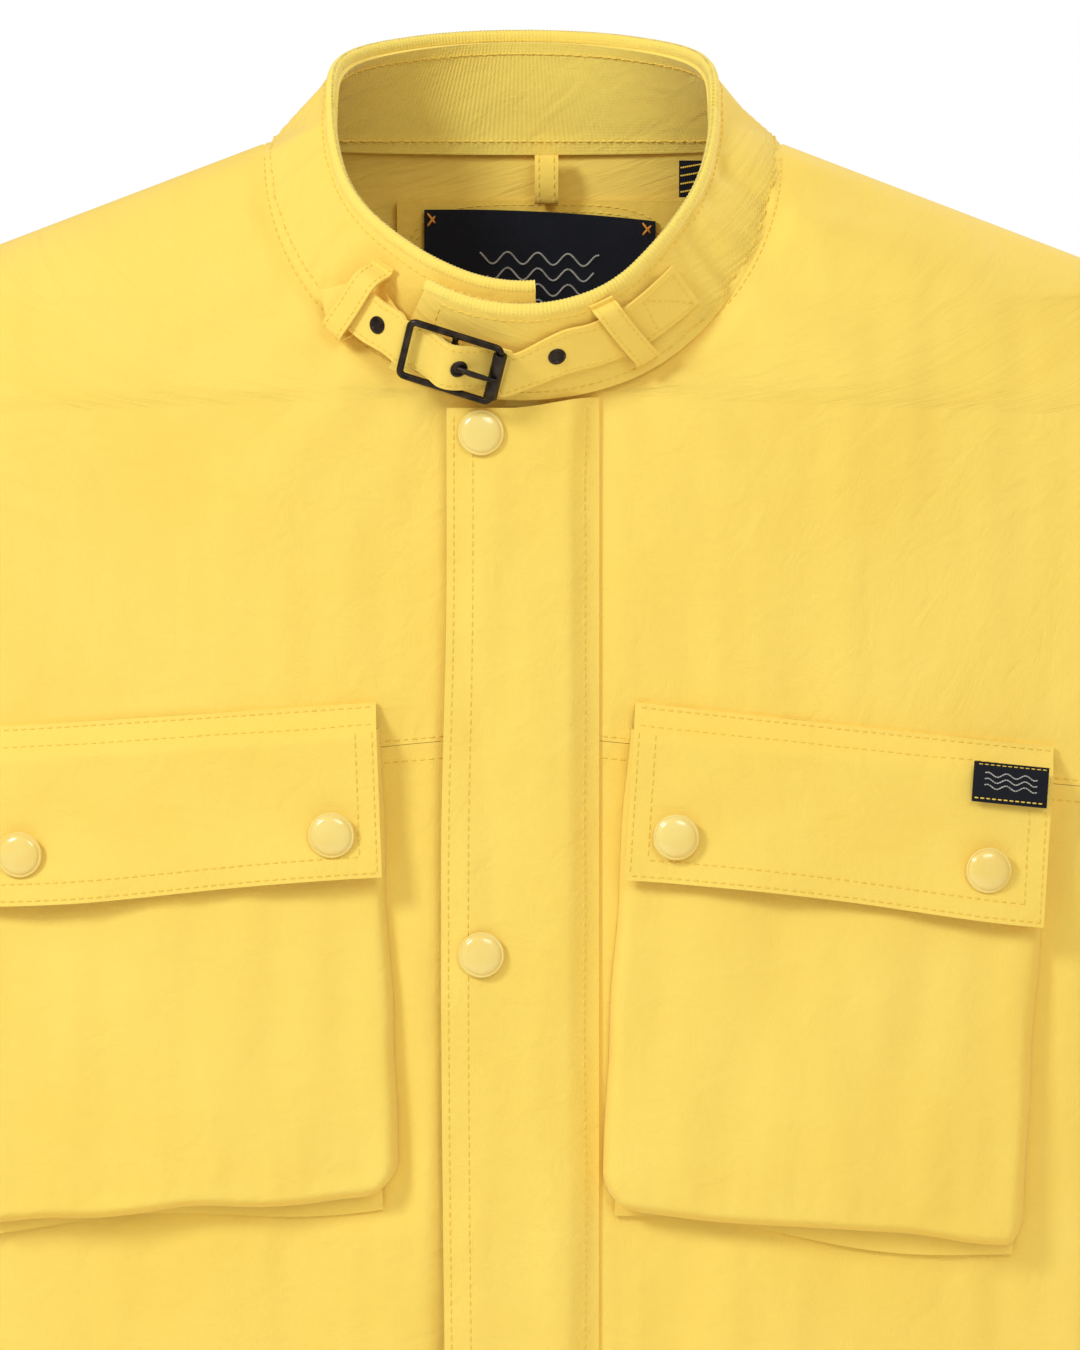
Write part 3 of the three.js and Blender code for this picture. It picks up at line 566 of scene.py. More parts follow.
def back_panels():
    grid = back_grid(lambda c: -0.6 - 4 * np.sin(math.pi * c), BACK_YOKE_Z + 0.1, 70, 170)
    yoke = Sheet(grid, (0, -30, -100))
    u, v = lengths(grid)
    yoke.displace(trunk_folds(grid, False) + pucker(u, v[-1] - v))
    yoke.cloth("back_yoke_cloth", "back_yoke")
    grid = back_grid(lambda c: 0 * c + BACK_YOKE_Z - 0.1, HEM_Z, 170, 170)
    panel = Sheet(grid, (0, -30, -450))
    u, v = lengths(grid)
    panel.displace(trunk_folds(grid, False) + pucker(u, v) + pucker(u, v[-1] - v, height=0.5))
    panel.cloth("back_panel_cloth", "back_panel")
    Seam().across(yoke, (0.985,), 1200).across(panel, (0.006, 0.962, 0.993), 1200).make("back_stitches")


# Sleeves, between their top line and their under line as (x, z), and the cuffs that carry them on
TOP_LINE = np.array([[247, -56], [292, -76], [338, -115], [374, -176], [415, -285], [447, -400], [478, -545],
                     [498, -692]], float)
UNDER_LINE = np.array([[278, -271], [287, -282], [295, -296], [302, -320], [312, -385], [328, -468], [353, -582],
                       [378, -712]], float)
CUFF_LENGTH = 55.0
CUFF_LAP = 8.0
CUFF_STEP = np.array([0.165, 0, -0.986])
CUFF_THICK = 2.2
SLEEVE_HEAD = 0.2


def curve_through(points, t):
    """A Catmull-Rom curve through evenly spaced knots, at the parameters t from 0 to 1."""
    points = np.asarray(points, float)
    padded = np.concatenate([[2 * points[0] - points[1]], points, [2 * points[-1] - points[-2]]])
    s = np.clip(np.asarray(t, float), 0, 1) * (len(points) - 1)
    i = np.minimum(s.astype(int), len(points) - 2)
    f = (s - i)[..., None]
    a, b, c, d = (padded[i + k] for k in range(4))
    return 0.5 * (2 * b + (c - a) * f + (2 * a - 5 * b + 4 * c - d) * f ** 2 + (3 * b - a - 3 * c + d) * f ** 3)


def sleeve_grid(side, along, angles, grow=0.0):
    share, angle = np.meshgrid(along, angles, indexing="ij")
    top, under = curve_through(TOP_LINE, share), curve_through(UNDER_LINE, share)
    centre, half = (top + under) / 2, (top - under) / 2
    size = np.linalg.norm(half, axis=-1, keepdims=True)
    half = half * (size + grow) / size
    depth = mix(47.0, 56.0, smooth(0, 0.3, share)) - 13 * smooth(0.4, 1, share) + grow
    place = centre + half * np.cos(angle)[..., None]
    x, z = place[..., 0], place[..., 1]
    behind = np.sin(angle) < 0
    hole = np.where(behind, armhole_x(z, back_depth(z), BACK_REACH), armhole_x(z, front_depth(z), FRONT_REACH))
    x = mix(hole - 2.5, x, smooth(0, SLEEVE_HEAD, share))
    y = -22 * smooth(0.1, 1, share) - depth * np.sin(angle) * mix(0.955, 1, smooth(0, 0.03, share))
    return np.stack([side * x, y, z], -1)


def sleeves():
    angles = np.linspace(0, 2 * math.pi, 96, endpoint=False)
    for side, word in ((1, "left"), (-1, "right")):
        grid = sleeve_grid(side, np.linspace(0, 1, 170), angles)
        sleeve = Sheet(grid, grid.mean(1, keepdims=True), closed=True)
        _, v = lengths(grid)
        elbow = np.exp(-((v / v[-1].max() - 0.55) / 0.16) ** 2)
        ringed = np.stack([grid[..., 0] * 0.3, grid[..., 1], grid[..., 2]], -1)
        folds = 5.0 * elbow * ripple(ringed, (60, 55, 22), 11 + side)
        folds += waves(grid, (4.0, (60, 60, 110), 13 + side), (1.6, (20, 20, 60), 15 + side))
        around = np.broadcast_to(np.arange(len(angles)) * 3.4, v.shape)
        sleeve.displace(folds * smooth(0, 25, v) * smooth(0, 20, v[-1] - v) + pucker(around, v, height=0.6))
        sleeve.cloth(f"sleeve_{word}_cloth", f"sleeve_{word}")
        step = np.array([side * CUFF_STEP[0], 0, CUFF_STEP[2]])
        ring = sleeve_grid(side, [1.0], angles, 1.0) + step * np.linspace(-CUFF_LAP, CUFF_LENGTH, 36)[:, None, None]
        cuff = Sheet(ring, ring.mean(1, keepdims=True), closed=True)
        _, v = lengths(ring)
        cuff.displace(0.7 * ripple(ring, (25, 25, 40), 21) + 0.5 * smooth(0, 2, v) * smooth(0, 2, v[-1] - v))
        cuff.cloth(f"cuff_{word}_cloth", f"cuff_{word}", thickness=CUFF_THICK)
        stitches = Seam().across(cuff, (0.04, 0.12, 0.96), 500).across(sleeve, (0.006, 0.014), 700)
        stitches.make(f"sleeve_{word}_stitches")


# Turned shapes and tubes
def turned(profile, centre, axis, segments):
    """The points of a profile of (radius, height) pairs, turned round an axis."""
    turn = Vector((0, 0, 1)).rotation_difference(Vector(axis).normalized()).to_matrix()
    points = []
    for (radius, height), k in product(profile, range(segments)):
        angle = 2 * math.pi * k / segments
        local = Vector((radius * math.cos(angle), radius * math.sin(angle), height))
        points.append(np.array(centre) + np.array(turn @ local))
    return np.array(points)


def lathe(name, profile, centre, axis, material, segments=48):
    faces = tube_faces(len(profile), segments)
    return mesh_object(name, turned(profile, centre, axis, segments), faces, material, sharp=40)


def lathe_ring(name, profile, centre, axis, material, segments=40):
    """A turned ring, whose profile closes on itself."""
    points = turned(profile, centre, axis, segments)
    after = lambda j, k: (j % len(profile)) * segments + k % segments
    faces = [(after(j, k), after(j, k + 1), after(j + 1, k + 1), after(j + 1, k))
             for j, k in product(range(len(profile)), range(segments))]
    return mesh_object(name, points, faces, material, sharp=40)


def tube_mesh(name, path, radii, material, sides, outward):
    """A closed tube along a path; radii holds its half width and half height, outward the way its height points."""
    path = np.asarray(path, float)
    tangent = unit(np.gradient(path, axis=0))
    side = unit(np.cross(tangent, np.broadcast_to(outward, path.shape)))
    up = np.cross(side, tangent)
    radii = np.broadcast_to(np.asarray(radii, float), (len(path), 2))
    angle = np.linspace(0, 2 * math.pi, sides, endpoint=False)
    ring = side[:, None] * np.cos(angle)[None, :, None] * radii[:, 0][:, None, None]
    ring = ring + up[:, None] * np.sin(angle)[None, :, None] * radii[:, 1][:, None, None]
    points = (path[:, None] + ring).reshape(-1, 3)
    uv = np.stack([np.repeat(run_along(path), sides), np.tile(angle * radii.max(), len(path))], -1) / 1000
    return mesh_object(name, points, tube_faces(len(path), sides), material, uv, 60)


def joined(name, pieces):
    """Joins meshes into the first one."""
    bpy.ops.object.select_all(action="DESELECT")
    for piece in pieces:
        piece.select_set(True)
    bpy.context.view_layer.objects.active = pieces[0]
    bpy.ops.object.join()
    pieces[0].name = name
    return pieces[0]


# Snaps: a domed cap over its flap, a socket under it and a stud on the cloth below
CAP_FOOT = [(-0.6, 0.0), (0.0, 0.15), (0.02, 0.7), (-0.35, 1.05), (-0.9, 0.95), (-1.2, 1.15)]
CAP_RIM = 1.2
CAP_DOME_Z = 1.15
CAP_DOME = 1.8
SOCKET = [(5.6, 0), (5.8, -0.3), (5.4, -0.9), (3.2, -1.1), (2.6, -0.5), (0.05, -0.4)]
STUD = [(5.8, 0), (5.9, 0.3), (5.2, 0.8), (2.3, 0.9), (2.1, 1.3), (2.4, 1.9), (1.8, 2.3), (0.05, 2.4)]


def cap_profile():
    profile = [(CAP_RADIUS + wider, height) for wider, height in CAP_FOOT]
    for k in range(1, 12):
        angle = math.pi / 2 * k / 12
        profile.append(((CAP_RADIUS - CAP_RIM) * math.cos(angle), CAP_DOME_Z + CAP_DOME * math.sin(angle)))
    return profile + [(0.05, CAP_DOME_Z + CAP_DOME)]


def cad_box(name):
    """The corners of a CAD solid's box, in the design frame."""
    return [np.array(corner) * 1000 + LOOP_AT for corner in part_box(name)]


def cap_place(name):
    """The middle of a cap's back, from its CAD solid."""
    low, high = cad_box(name)
    return np.array([(low[0] + high[0]) / 2, high[1], (low[2] + high[2]) / 2])


def snap_cap(name, centre, axis, body, node_name):
    cap = lathe(name, cap_profile(), centre, axis, ENAMEL)
    declare(cap, body, "snap_enamel", node_name)
    back = np.asarray(centre) - np.asarray(axis) * (FLAP_CLOTH + 0.8)
    declare(lathe(name + "_socket", SOCKET, back, axis, ZIP_METAL, 32), body, "zip_metal")


def stud(name, centre, axis):
    declare(lathe(name, STUD, centre, axis, ZIP_METAL, 32), "jacket", "zip_metal")


# Collar: places on it are a turn in degrees from the middle of the front, a share of its height, and a lift off it
STRIP_START = 4.0
STRIP_END = -389.0
BAND_START = -62.0
BAND_END = -298.0
BAND_LIFT = -3.6
COLLAR_THICK = 1.5
COLLAR_CENTRE = (0, -20, -30)
RIM_HALF_WIDTH = 69.0
RIM_MIDDLE_Y = -19.0
RIM_HALF_DEPTH = 61.0
BAND_RIBS = 200
EDGE_KNOPS = 330
STEPS_PER_RIB = 4


def collar_normal(turn):
    s, c = np.sin(np.radians(turn)), np.cos(np.radians(turn))
    return unit(np.stack([s, -c * 1.1, 0.1 - 0.55 * np.maximum(0, c)], -1))


def collar_point(turn, up, lift):
    turn, up, lift = np.broadcast_arrays(*[np.asarray(a, float) for a in (turn, up, lift)])
    s, c = np.sin(np.radians(turn)), np.cos(np.radians(turn))
    base_z = np.where(c > 0, -NECK_DROP * c, 5 * c)
    neck_y = front_y(NECK_HALF_WIDTH * s, np.minimum(base_z, 0))
    base = np.stack([NECK_HALF_WIDTH * s, np.where(c > 0, neck_y, NECK_BACK_DEPTH * np.abs(c) ** 0.6), base_z], -1)
    rim_z = np.where(c > 0, 12 - 72 * c, 12 + 27 * np.abs(c) ** 0.4)
    rim_z = rim_z + 6 * smooth(-75, -20, turn) * smooth(20, 5, turn) * up ** 4
    wider = 4.5 * smooth(0.6, 0.95, np.abs(s))
    rim = np.stack([(RIM_HALF_WIDTH + wider) * s, RIM_MIDDLE_Y - RIM_HALF_DEPTH * c, rim_z], -1)
    return base + (rim - base) * up[..., None] + collar_normal(turn) * lift[..., None]


def overlap_lift(turn):
    """The outer end of the collar lies over the inner one."""
    return OVERLAP_LIFT * smooth(-300, -340, turn)


def collar_sheet(start, end, cols, rows, up_start, up_end, lift):
    turn, up = np.meshgrid(np.linspace(start, end, cols), np.linspace(up_start, up_end, rows))
    grid = collar_point(turn, up, lift + overlap_lift(turn))
    return Sheet(grid, COLLAR_CENTRE), turn, up


def ribs(count):
    return np.cos(2 * math.pi * np.arange(count * STEPS_PER_RIB + 1) / STEPS_PER_RIB)


def collar():
    shell, turn, up = collar_sheet(STRIP_START, STRIP_END, 420, 46, 0.0, 1.0, 0.0)
    u, v = lengths(shell.flat)
    sides = smooth(0.25, 0.8, np.abs(np.sin(np.radians(turn))))
    upright = np.stack([turn * 1.3, up * 12, 0 * up], -1)
    folds = 2.2 * sides * ripple(upright, (9, 20, 1), 31) + 0.9 * ripple(upright, (5, 14, 1), 33)
    folds += pucker(u, v, reach=9, height=0.5, pitch=7) + pucker(u, v[-1] - v, reach=5, height=0.25, pitch=6)
    rest = smooth(0, 0.08, up) * (0.25 + 0.75 * smooth(1.0, 0.8, up))
    under_strap = 1 - 0.8 * smooth(0.6, 0.9, np.cos(np.radians(turn + 5)))
    shell.displace((folds - 0.4) * rest * under_strap)
    shell.cloth("collar_cloth", "collar_shell", thickness=COLLAR_THICK)
    stitches = Seam().across(shell, (0.09, 0.93), 1600, 0.02, 0.985).down(shell, (0.985,), 100, 0.09, 0.93)
    stitches.make("collar_stitches")


def collar_band():
    """The ribbed knit inside the collar."""
    cols = BAND_RIBS * STEPS_PER_RIB + 1
    band, turn, up = collar_sheet(BAND_START, BAND_END, cols, 26, 0.01, 0.985, BAND_LIFT)
    ends = smooth(0, 0.1, up) * smooth(1.0, 0.92, up)
    groove = smooth(0.3, 0.0, np.abs(up - 0.12) / 0.05)
    band.displace(0.13 * ribs(BAND_RIBS)[None, :] * ends - 0.5 * groove)
    band.cloth("collar_rib_band", "collar_knit_band", material=KNIT, thickness=1.4, slot="rib_knit")
    inner = Seam()
    for level in (0.12, 0.9):
        points, normals = band.line((0.01, level), (0.99, level), 1400)
        inner.row((points - normals * 1.55, -normals))
    inner.make("collar_band_stitches", slot="rib_knit")


def collar_edge():
    """The knitted edge: a rolled rib with fine knops along the rim, following the overlap."""
    turn = np.linspace(STRIP_START, STRIP_END, EDGE_KNOPS * STEPS_PER_RIB + 1)
    path = collar_point(turn, 1.0, -1.6 + overlap_lift(turn)) + np.array([0, 0, 1.0])
    swell = 1 + 0.05 * ribs(EDGE_KNOPS)
    radii = np.stack([2.9 * swell, 2.1 * swell], -1)
    piece = tube_mesh("collar_rolled_edge", path, radii, KNIT, 14, collar_normal(turn))
    declare(piece, "jacket", "rib_knit", "collar_edge_binding")


# The collar's buckle, in its own directions: s along the strap, w across it, h off it
BUCKLE_TURN = -16.0
BUCKLE_UP = 0.44
BUCKLE_TILT = 0.24
BUCKLE_HALF_LENGTH = 17.5
BUCKLE_HALF_HEIGHT = 11.2
BUCKLE_CORNER = 2.2
BAR = 1.2
BAR_SIDES = 14
ROLLER = [(1.6, -9.2), (2.45, -9.2), (2.6, -9.0), (2.6, -5.0), (2.6, 5.0), (2.6, 9.0), (2.45, 9.2), (1.6, 9.2),
          (1.55, 8.5), (1.55, -8.5)]
PRONG = [(0.6, 2.0), (1.6, 2.4), (4, 3.3), (8, 4.1), (14, 4.2), (19.2, 3.6)]
PRONG_EYE = [(1.55, -1.2), (2.3, -1.2), (2.5, 0), (2.3, 1.2), (1.55, 1.2), (1.5, 0)]
OUTWARD = collar_normal(BUCKLE_TURN)
LEVEL = np.array([math.cos(BUCKLE_TILT), 0, -math.sin(BUCKLE_TILT)])
ALONG = unit(LEVEL - OUTWARD * LEVEL.dot(OUTWARD))
ACROSS = np.cross(OUTWARD, ALONG)
BUCKLE_AT = collar_point(BUCKLE_TURN, BUCKLE_UP, OVERLAP_LIFT + 7.5)


def in_buckle(s, w, h):
    return BUCKLE_AT + ALONG * s + ACROSS * w + OUTWARD * h


def rounded_loop(steps=8):
    """Points round the buckle's frame, a rectangle with rounded corners in its own plane."""
    points = []
    for (sx, sy, start), k in product(((1, 1, 0), (-1, 1, 90), (-1, -1, 180), (1, -1, 270)), range(steps + 1)):
        a = math.radians(start + 90 * k / steps)
        s = sx * (BUCKLE_HALF_LENGTH - BUCKLE_CORNER) + BUCKLE_CORNER * math.cos(a)
        w = sy * (BUCKLE_HALF_HEIGHT - BUCKLE_CORNER) + BUCKLE_CORNER * math.sin(a)
        points.append(in_buckle(s, w, 0))
    return points


def buckle():
    loop = rounded_loop()
    path = np.array(loop + loop[:1])
    dense = [mix(path[i], path[i + 1], t) for i in range(len(path) - 1) for t in np.linspace(0, 1, 5)[:-1]]
    ring = tube_mesh("buckle_ring", dense + dense[:1], (BAR + 0.15, BAR), DARK_METAL, BAR_SIDES, OUTWARD)
    bar = [in_buckle(0, w, 0) for w in np.linspace(-BUCKLE_HALF_HEIGHT, BUCKLE_HALF_HEIGHT, 9)]
    middle = tube_mesh("buckle_middle_bar", bar, (BAR, BAR), DARK_METAL, BAR_SIDES, OUTWARD)
    declare(joined("collar_buckle_frame", [ring, middle]), "buckle", "dark_metal", "buckle_frame")
    roller = lathe_ring("collar_buckle_roller", ROLLER, in_buckle(BUCKLE_HALF_LENGTH, 0, 0), ACROSS, DARK_METAL)
    declare(roller, "buckle_roller", "dark_metal", "buckle_roller")
    along = np.linspace(0, 1, 40)
    finger = curve_through([in_buckle(s, 0, h) for s, h in PRONG], along)
    taper = 0.95 - 0.35 * smooth(0.7, 1.0, along)
    stem = tube_mesh("prong_stem", finger, np.stack([taper * 1.2, taper], -1), DARK_METAL, BAR_SIDES, OUTWARD)
    eye = lathe_ring("prong_eye", PRONG_EYE, in_buckle(0, 0, 0), ACROSS, DARK_METAL)
    declare(joined("collar_buckle_prong", [stem, eye]), "buckle_prong", "dark_metal", "buckle_prong")


# Strap, buckle tab and keeper loops: bands through stations, each a middle and the way across
STRAP_WIDTH = 18.0
STRAP_THICK = 1.4
STRAP_ROUTE = [(45, 0.55, 1.5), (40, 0.57, 2), (33, 0.58, 2.2), (26.5, 0.57, 2.2), (18, 0.56, 2.2), (10, 0.55, 2.4)]
STRAP_TIP = [(-31, 0.45, 10.2), (-36, 0.42, 8.8), (-42, 0.4, 7.6), (-47, 0.32, 7), (-51, 0.24, 6.4)]
STRAP_IN_BUCKLE = [(23, -5.9), (20, -5.5), (17.5, -5.2), (14, -4.6), (9.5, -1.6), (5, 2), (2.5, 3.5), (0, 4.1),
                   (-2.5, 3.5), (-6, 0.6), (-10, -2.2), (-14, -3.6), (-17.5, -3.7), (-20, -3.7)]
STRAP_STITCH = dict(pitch=2.8, length=2.1, radius=0.25)
EYELET = [(3.3, -0.1), (3.35, 0.25), (2.9, 0.6), (2.3, 0.55), (1.9, 0.15), (0.05, 0.05)]
EYELETS = (("strap_eyelet_open", 0.215, ["eyelet_open"]), ("strap_eyelet_prong", 0.475, []),
           ("strap_eyelet_end", 0.865, ["eyelet_end"]))
TAB_ROUTE = [(-38.5, 0.42, 1.7), (-36, 0.425, 3.6)]
TAB_IN_BUCKLE = [(-20, -5.6), (-14, -5.4), (-8, -3.6), (-3.5, -2.4), (0, -2.2), (1.6, -1.6), (2.2, 0), (1.6, 1.6),
                 (0, 2.2)]
LOOP_SHARES = (0, 0.07, 0.13, 0.5, 0.9, 0.95, 1)
LOOP_STITCH = dict(pitch=2.6, length=1.9, radius=0.22)


def on_collar(turn, up, lift):
    p = collar_point(turn, up, lift)
    return p, unit(collar_point(turn, up + 0.1, lift) - p)


def at_buckle(s, h):
    return in_buckle(s, 0, h), ACROSS


def ribbon(stations, width, thickness, samples, narrow=None, crown=0.0):
    """A sewn band along its stations, as a sheet that is finer than they are."""
    centres, sides = zip(*stations)
    t = np.linspace(0, 1, samples)
    path = curve_through(centres, t)
    side = unit(curve_through(sides, t))
    size = width * (np.ones(samples) if narrow is None else narrow(t))
    w = np.linspace(-0.5, 0.5, 15)
    grid = path[:, None] + side[:, None] * (size[:, None] * w[None])[..., None]
    band = Sheet(grid, COLLAR_CENTRE)
    return band.displace(thickness / 2 + crown * (0.25 - w ** 2)[None] * np.ones((samples, 1)))


def strap():
    stations = [on_collar(turn, up, lift + overlap_lift(turn - 360)) for turn, up, lift in STRAP_ROUTE]
    stations += [at_buckle(*at) for at in STRAP_IN_BUCKLE] + [on_collar(*at) for at in STRAP_TIP]
    point = lambda t: 1 - 0.97 * smooth(0.94, 1.0, t) ** 0.8
    band = ribbon(stations, STRAP_WIDTH, STRAP_THICK, 260, point, 0.5)
    band.displace(0.25 * ripple(band.grid, (9, 9, 14), 41))
    band.cloth("collar_strap_cloth", "collar_strap", thickness=STRAP_THICK)
    stitches = Seam().down(band, (0.1, 0.9), 500, 0.01, 0.93, **STRAP_STITCH)
    crossed = [(0.1, 0.015), (0.9, 0.015), (0.9, 0.085), (0.1, 0.085), (0.1, 0.015), (0.9, 0.085)]
    for a, b in zip(crossed, crossed[1:]):
        stitches.row(band.line(a, b, 60), **STRAP_STITCH)
    stitches.make("strap_stitches")
    for name, along, replaced in EYELETS:
        eyelet = lathe(name, EYELET, *band.at(0.5, along), DARK_METAL, 28)
        declare(eyelet, "jacket", "dark_metal", *replaced)


def buckle_tab():
    stations = [on_collar(*at) for at in TAB_ROUTE] + [at_buckle(*at) for at in TAB_IN_BUCKLE]
    ribbon(stations, 15, 0.8, 90).cloth("buckle_tab_cloth", "buckle_tab", thickness=0.8)


def keeper_loop(name, start, end, base, bridge):
    stations = []
    for share, height in zip(LOOP_SHARES, (base, base, bridge, bridge + 0.6, bridge, base, base)):
        turn = mix(start[0], end[0], share)
        p, s = on_collar(turn, mix(start[1], end[1], share), height)
        stations.append((p, unit(np.cross(s, collar_normal(turn)))))
    band = ribbon(stations, 9.5, 1.0, 70, crown=0.6)
    band.cloth(name + "_cloth", name, thickness=1.1)
    Seam().down(band, (0.16, 0.84), 120, 0.02, 0.98, **LOOP_STITCH).make(name + "_cloth_stitches")


# Storm flap
HINGE_RUN = 14.0
FLAP_TOP = -97.0
STORM_THICK = 1.8
STORM_SNAPS = 4
STORM_SNAP_AXIS = (0, -1, 0.0157)


def storm_stand(x):
    return mix(FLAP_STAND + CLOTH - 0.4, 1.6, smooth(FLAP_RIGHT - 12, FLAP_RIGHT, x))


def storm_flap():
    r, c = np.meshgrid(np.linspace(0, 1, 330), np.linspace(0, 1, 34), indexing="ij")
    top = mix(FLAP_TOP, FLAP_TOP + 3.6, smooth(0.4, 0.95, c))
    z = mix(top, HEM_Z + 6, r)
    wander = 1.6 * (1 - np.cos(z / 95)) * smooth(-150, -260, z)
    x = mix(FLAP_LEFT - wander * 0.7, FLAP_RIGHT, c)
    grid = np.stack([x, front_y(x, z) - storm_stand(x), z], -1)
    flap = Sheet(grid, (0, 40, -400))
    creases = waves(grid, (1.3, (12, 50, 60), 51), (1.6, (30, 80, 110), 53))
    edge_wave = 1.8 * ripple(grid, (60, 80, 26), 55) * smooth(-12, -26, x)
    flap.displace((creases + edge_wave - 0.6) * smooth(0, 8, FLAP_RIGHT - x) * smooth(0, 30, FLAP_TOP - z))
    hinge = ((FLAP_RIGHT, 0, 0), (FLAP_RIGHT - HINGE_RUN, 0, 0))
    blend_across(flap.cloth("storm_flap_cloth", "storm_flap", thickness=STORM_THICK, body=None), *hinge, "storm_flap")
    stitches = Seam().down(flap, (0.045, 0.17), 1500, 0.004, 0.996).across(flap, (0.988,), 100, 0.05, 0.9)
    stitches.make("storm_flap_stitches", body="storm_flap")
    held = Seam().down(flap, (0.91,), 1500, 0.004, 0.996).make("storm_flap_seam_stitches", body=None)
    blend_across(held, *hinge, "storm_flap")
    for i in range(1, STORM_SNAPS + 1):
        cad_cap = f"storm_snap_cap_{i}"
        foot = cap_place(cad_cap)
        snap_cap(f"storm_cap_{i}", foot, STORM_SNAP_AXIS, "storm_flap", cad_cap)
        x, z = foot[0], foot[2]
        stud(f"storm_stud_{i}", (x, float(front_y(x, z)) - 1.0, z), STORM_SNAP_AXIS)


# Pockets: a is the distance along a pocket's top from its inner corner, b the distance down, t the share of the width
BAG_CORNER = 13.0
BAG_TOP = 10.0
WALL_RUN = 5.0
BAG_THICK = 1.0
POCKET_FLAP_THICK = 1.7
POCKET_HINGE_RUN = 9.0


def pocket_point(pocket, a, b, stand):
    x = pocket["inner"] - pocket["lean"] * b + a
    z = pocket["top"] - b - a * pocket["slope"]
    return np.stack([pocket["side"] * x, front_y(x, z) - stand, z], -1)


def bag_grid(pocket, seed):
    """The bag's outer face: where it lies on the front, how far it stands off, and the distance from its edge."""
    drop = pocket["drop"]
    round_end = drop - 16 + 16 * np.sin(np.linspace(0, math.pi / 2, 18))[1:]
    b_row = np.concatenate([np.linspace(BAG_TOP, drop - 16, 70), round_end])
    t_row = np.concatenate([[0, 0.004, 0.012, 0.022, 0.036], np.linspace(0.055, 0.945, 72),
                            [0.964, 0.978, 0.988, 0.996, 1]])
    t, b = np.meshgrid(t_row, b_row)
    into = np.maximum(0, b - (drop - BAG_CORNER))
    inset = BAG_CORNER - np.sqrt(np.maximum(0, BAG_CORNER ** 2 - into ** 2))
    wave = 1.2 * ripple(np.stack([0 * b + seed, b, 0 * b], -1), (1, 34, 1), seed)
    a = mix(-1.5 + inset + wave, POCKET_WIDTH - inset * 0.4 + wave, t)
    from_edge = np.minimum(np.minimum(a - a[:, :1], a[:, -1:] - a), drop - b + 0.3)
    b = b + 3.2 * ripple(np.stack([a, 0 * a, 0 * a], -1), (38, 1, 1), seed + 4) * smooth(120, drop, b)
    wall = np.sqrt(np.clip(from_edge / WALL_RUN, 0, 1) * (2 - np.clip(from_edge / WALL_RUN, 0, 1)))
    depth = pocket["depth"] - 3.8 + 4.6 * smooth(40, drop, b)
    bulge = 2.2 * np.sin(math.pi * t) * smooth(20, 150, b)
    return pocket_point(pocket, a, b, 0.9 + (depth + bulge) * wall), a, b, from_edge


def pocket_bag(pocket, seed):
    grid, a, b, from_edge = bag_grid(pocket, seed)
    inside = (0, 60, pocket["top"] - 100)
    bag = Sheet(grid, inside)
    folds = waves(grid, (1.5, (15, 60, 70), seed + 1), (2.0, (45, 90, 60), seed + 2))
    folds += pucker(a, pocket["drop"] - b, reach=9, height=0.45, pitch=9, seed=seed)
    bag.displace((folds - 0.5) * smooth(0, 12, from_edge))
    t, r = np.meshgrid(np.linspace(0.03, 0.985, 60), np.linspace(0, 1, 10))
    low = pocket["drop"] - 2 + r * (6 + 2.5 * np.sin(t * 7 + seed))
    gusset = Sheet(pocket_point(pocket, t * POCKET_WIDTH, low, 2.9 - 1.2 * r), inside)
    gusset.cloth(pocket["name"] + "_gusset_cloth", thickness=0.9)
    name = pocket["name"] + "_bag"
    bag.cloth(name + "_cloth", name, thickness=BAG_THICK)
    Seam().across(bag, (0.012, 0.06), 400, 0.03, 0.97).make(name + "_stitches")


def pocket_flap(pocket, seed):
    b_row = np.concatenate([[0, 1.2, 2.6, 4.4, 6.6, 9], np.linspace(11, FLAP_DEPTH, 34)])
    t, b = np.meshgrid(np.linspace(0, 1, 90), b_row)
    a = t * POCKET_WIDTH
    rise = mix(1.9, pocket["depth"] + FLAP_RISE + FLAP_CLOTH - 1.4, smooth(0, 13, b))
    lip = 4.5 * smooth(36, FLAP_DEPTH, b) * (0.3 + 0.7 * np.sin(a / 30 + seed) ** 2)
    grid = pocket_point(pocket, a, b + 1.3 * np.sin(a / 31 + seed) * smooth(20, FLAP_DEPTH, b), rise + lip * 0.8)
    flap = Sheet(grid, (0, 60, pocket["top"] - 30))
    flap.displace(waves(grid, (0.55, (22, 60, 18), seed + 5), (0.6, (50, 90, 40), seed + 6)) * smooth(0, 6, b))
    name = pocket["name"] + "_flap"
    top = pocket_point(pocket, POCKET_WIDTH / 2, 0.0, 0.0)
    low = pocket_point(pocket, POCKET_WIDTH / 2, POCKET_HINGE_RUN, 0.0)
    hinge = ((0, top[1], top[2]), (0, top[1], low[2]))
    blend_across(flap.cloth(name + "_cloth", name, thickness=POCKET_FLAP_THICK, body=None), *hinge, name)
    level = lambda b_wanted: float(np.interp(b_wanted, b_row, np.linspace(0, 1, len(b_row))))
    free = Seam()
    for inset in (1.8, 8.0):
        sides = (inset / POCKET_WIDTH, 1 - inset / POCKET_WIDTH)
        low = level(FLAP_DEPTH - inset)
        free.down(flap, sides, 150, level(10), low).across(flap, (low,), 400, *sides)
    free.make(name + "_stitches", body=name)
    held = Seam().across(flap, (level(1.6), level(7.6)), 400, 0.01, 0.99)
    blend_across(held.make(name + "_top_stitches", body=None), *hinge, name)
    pocket_snaps(pocket, name)


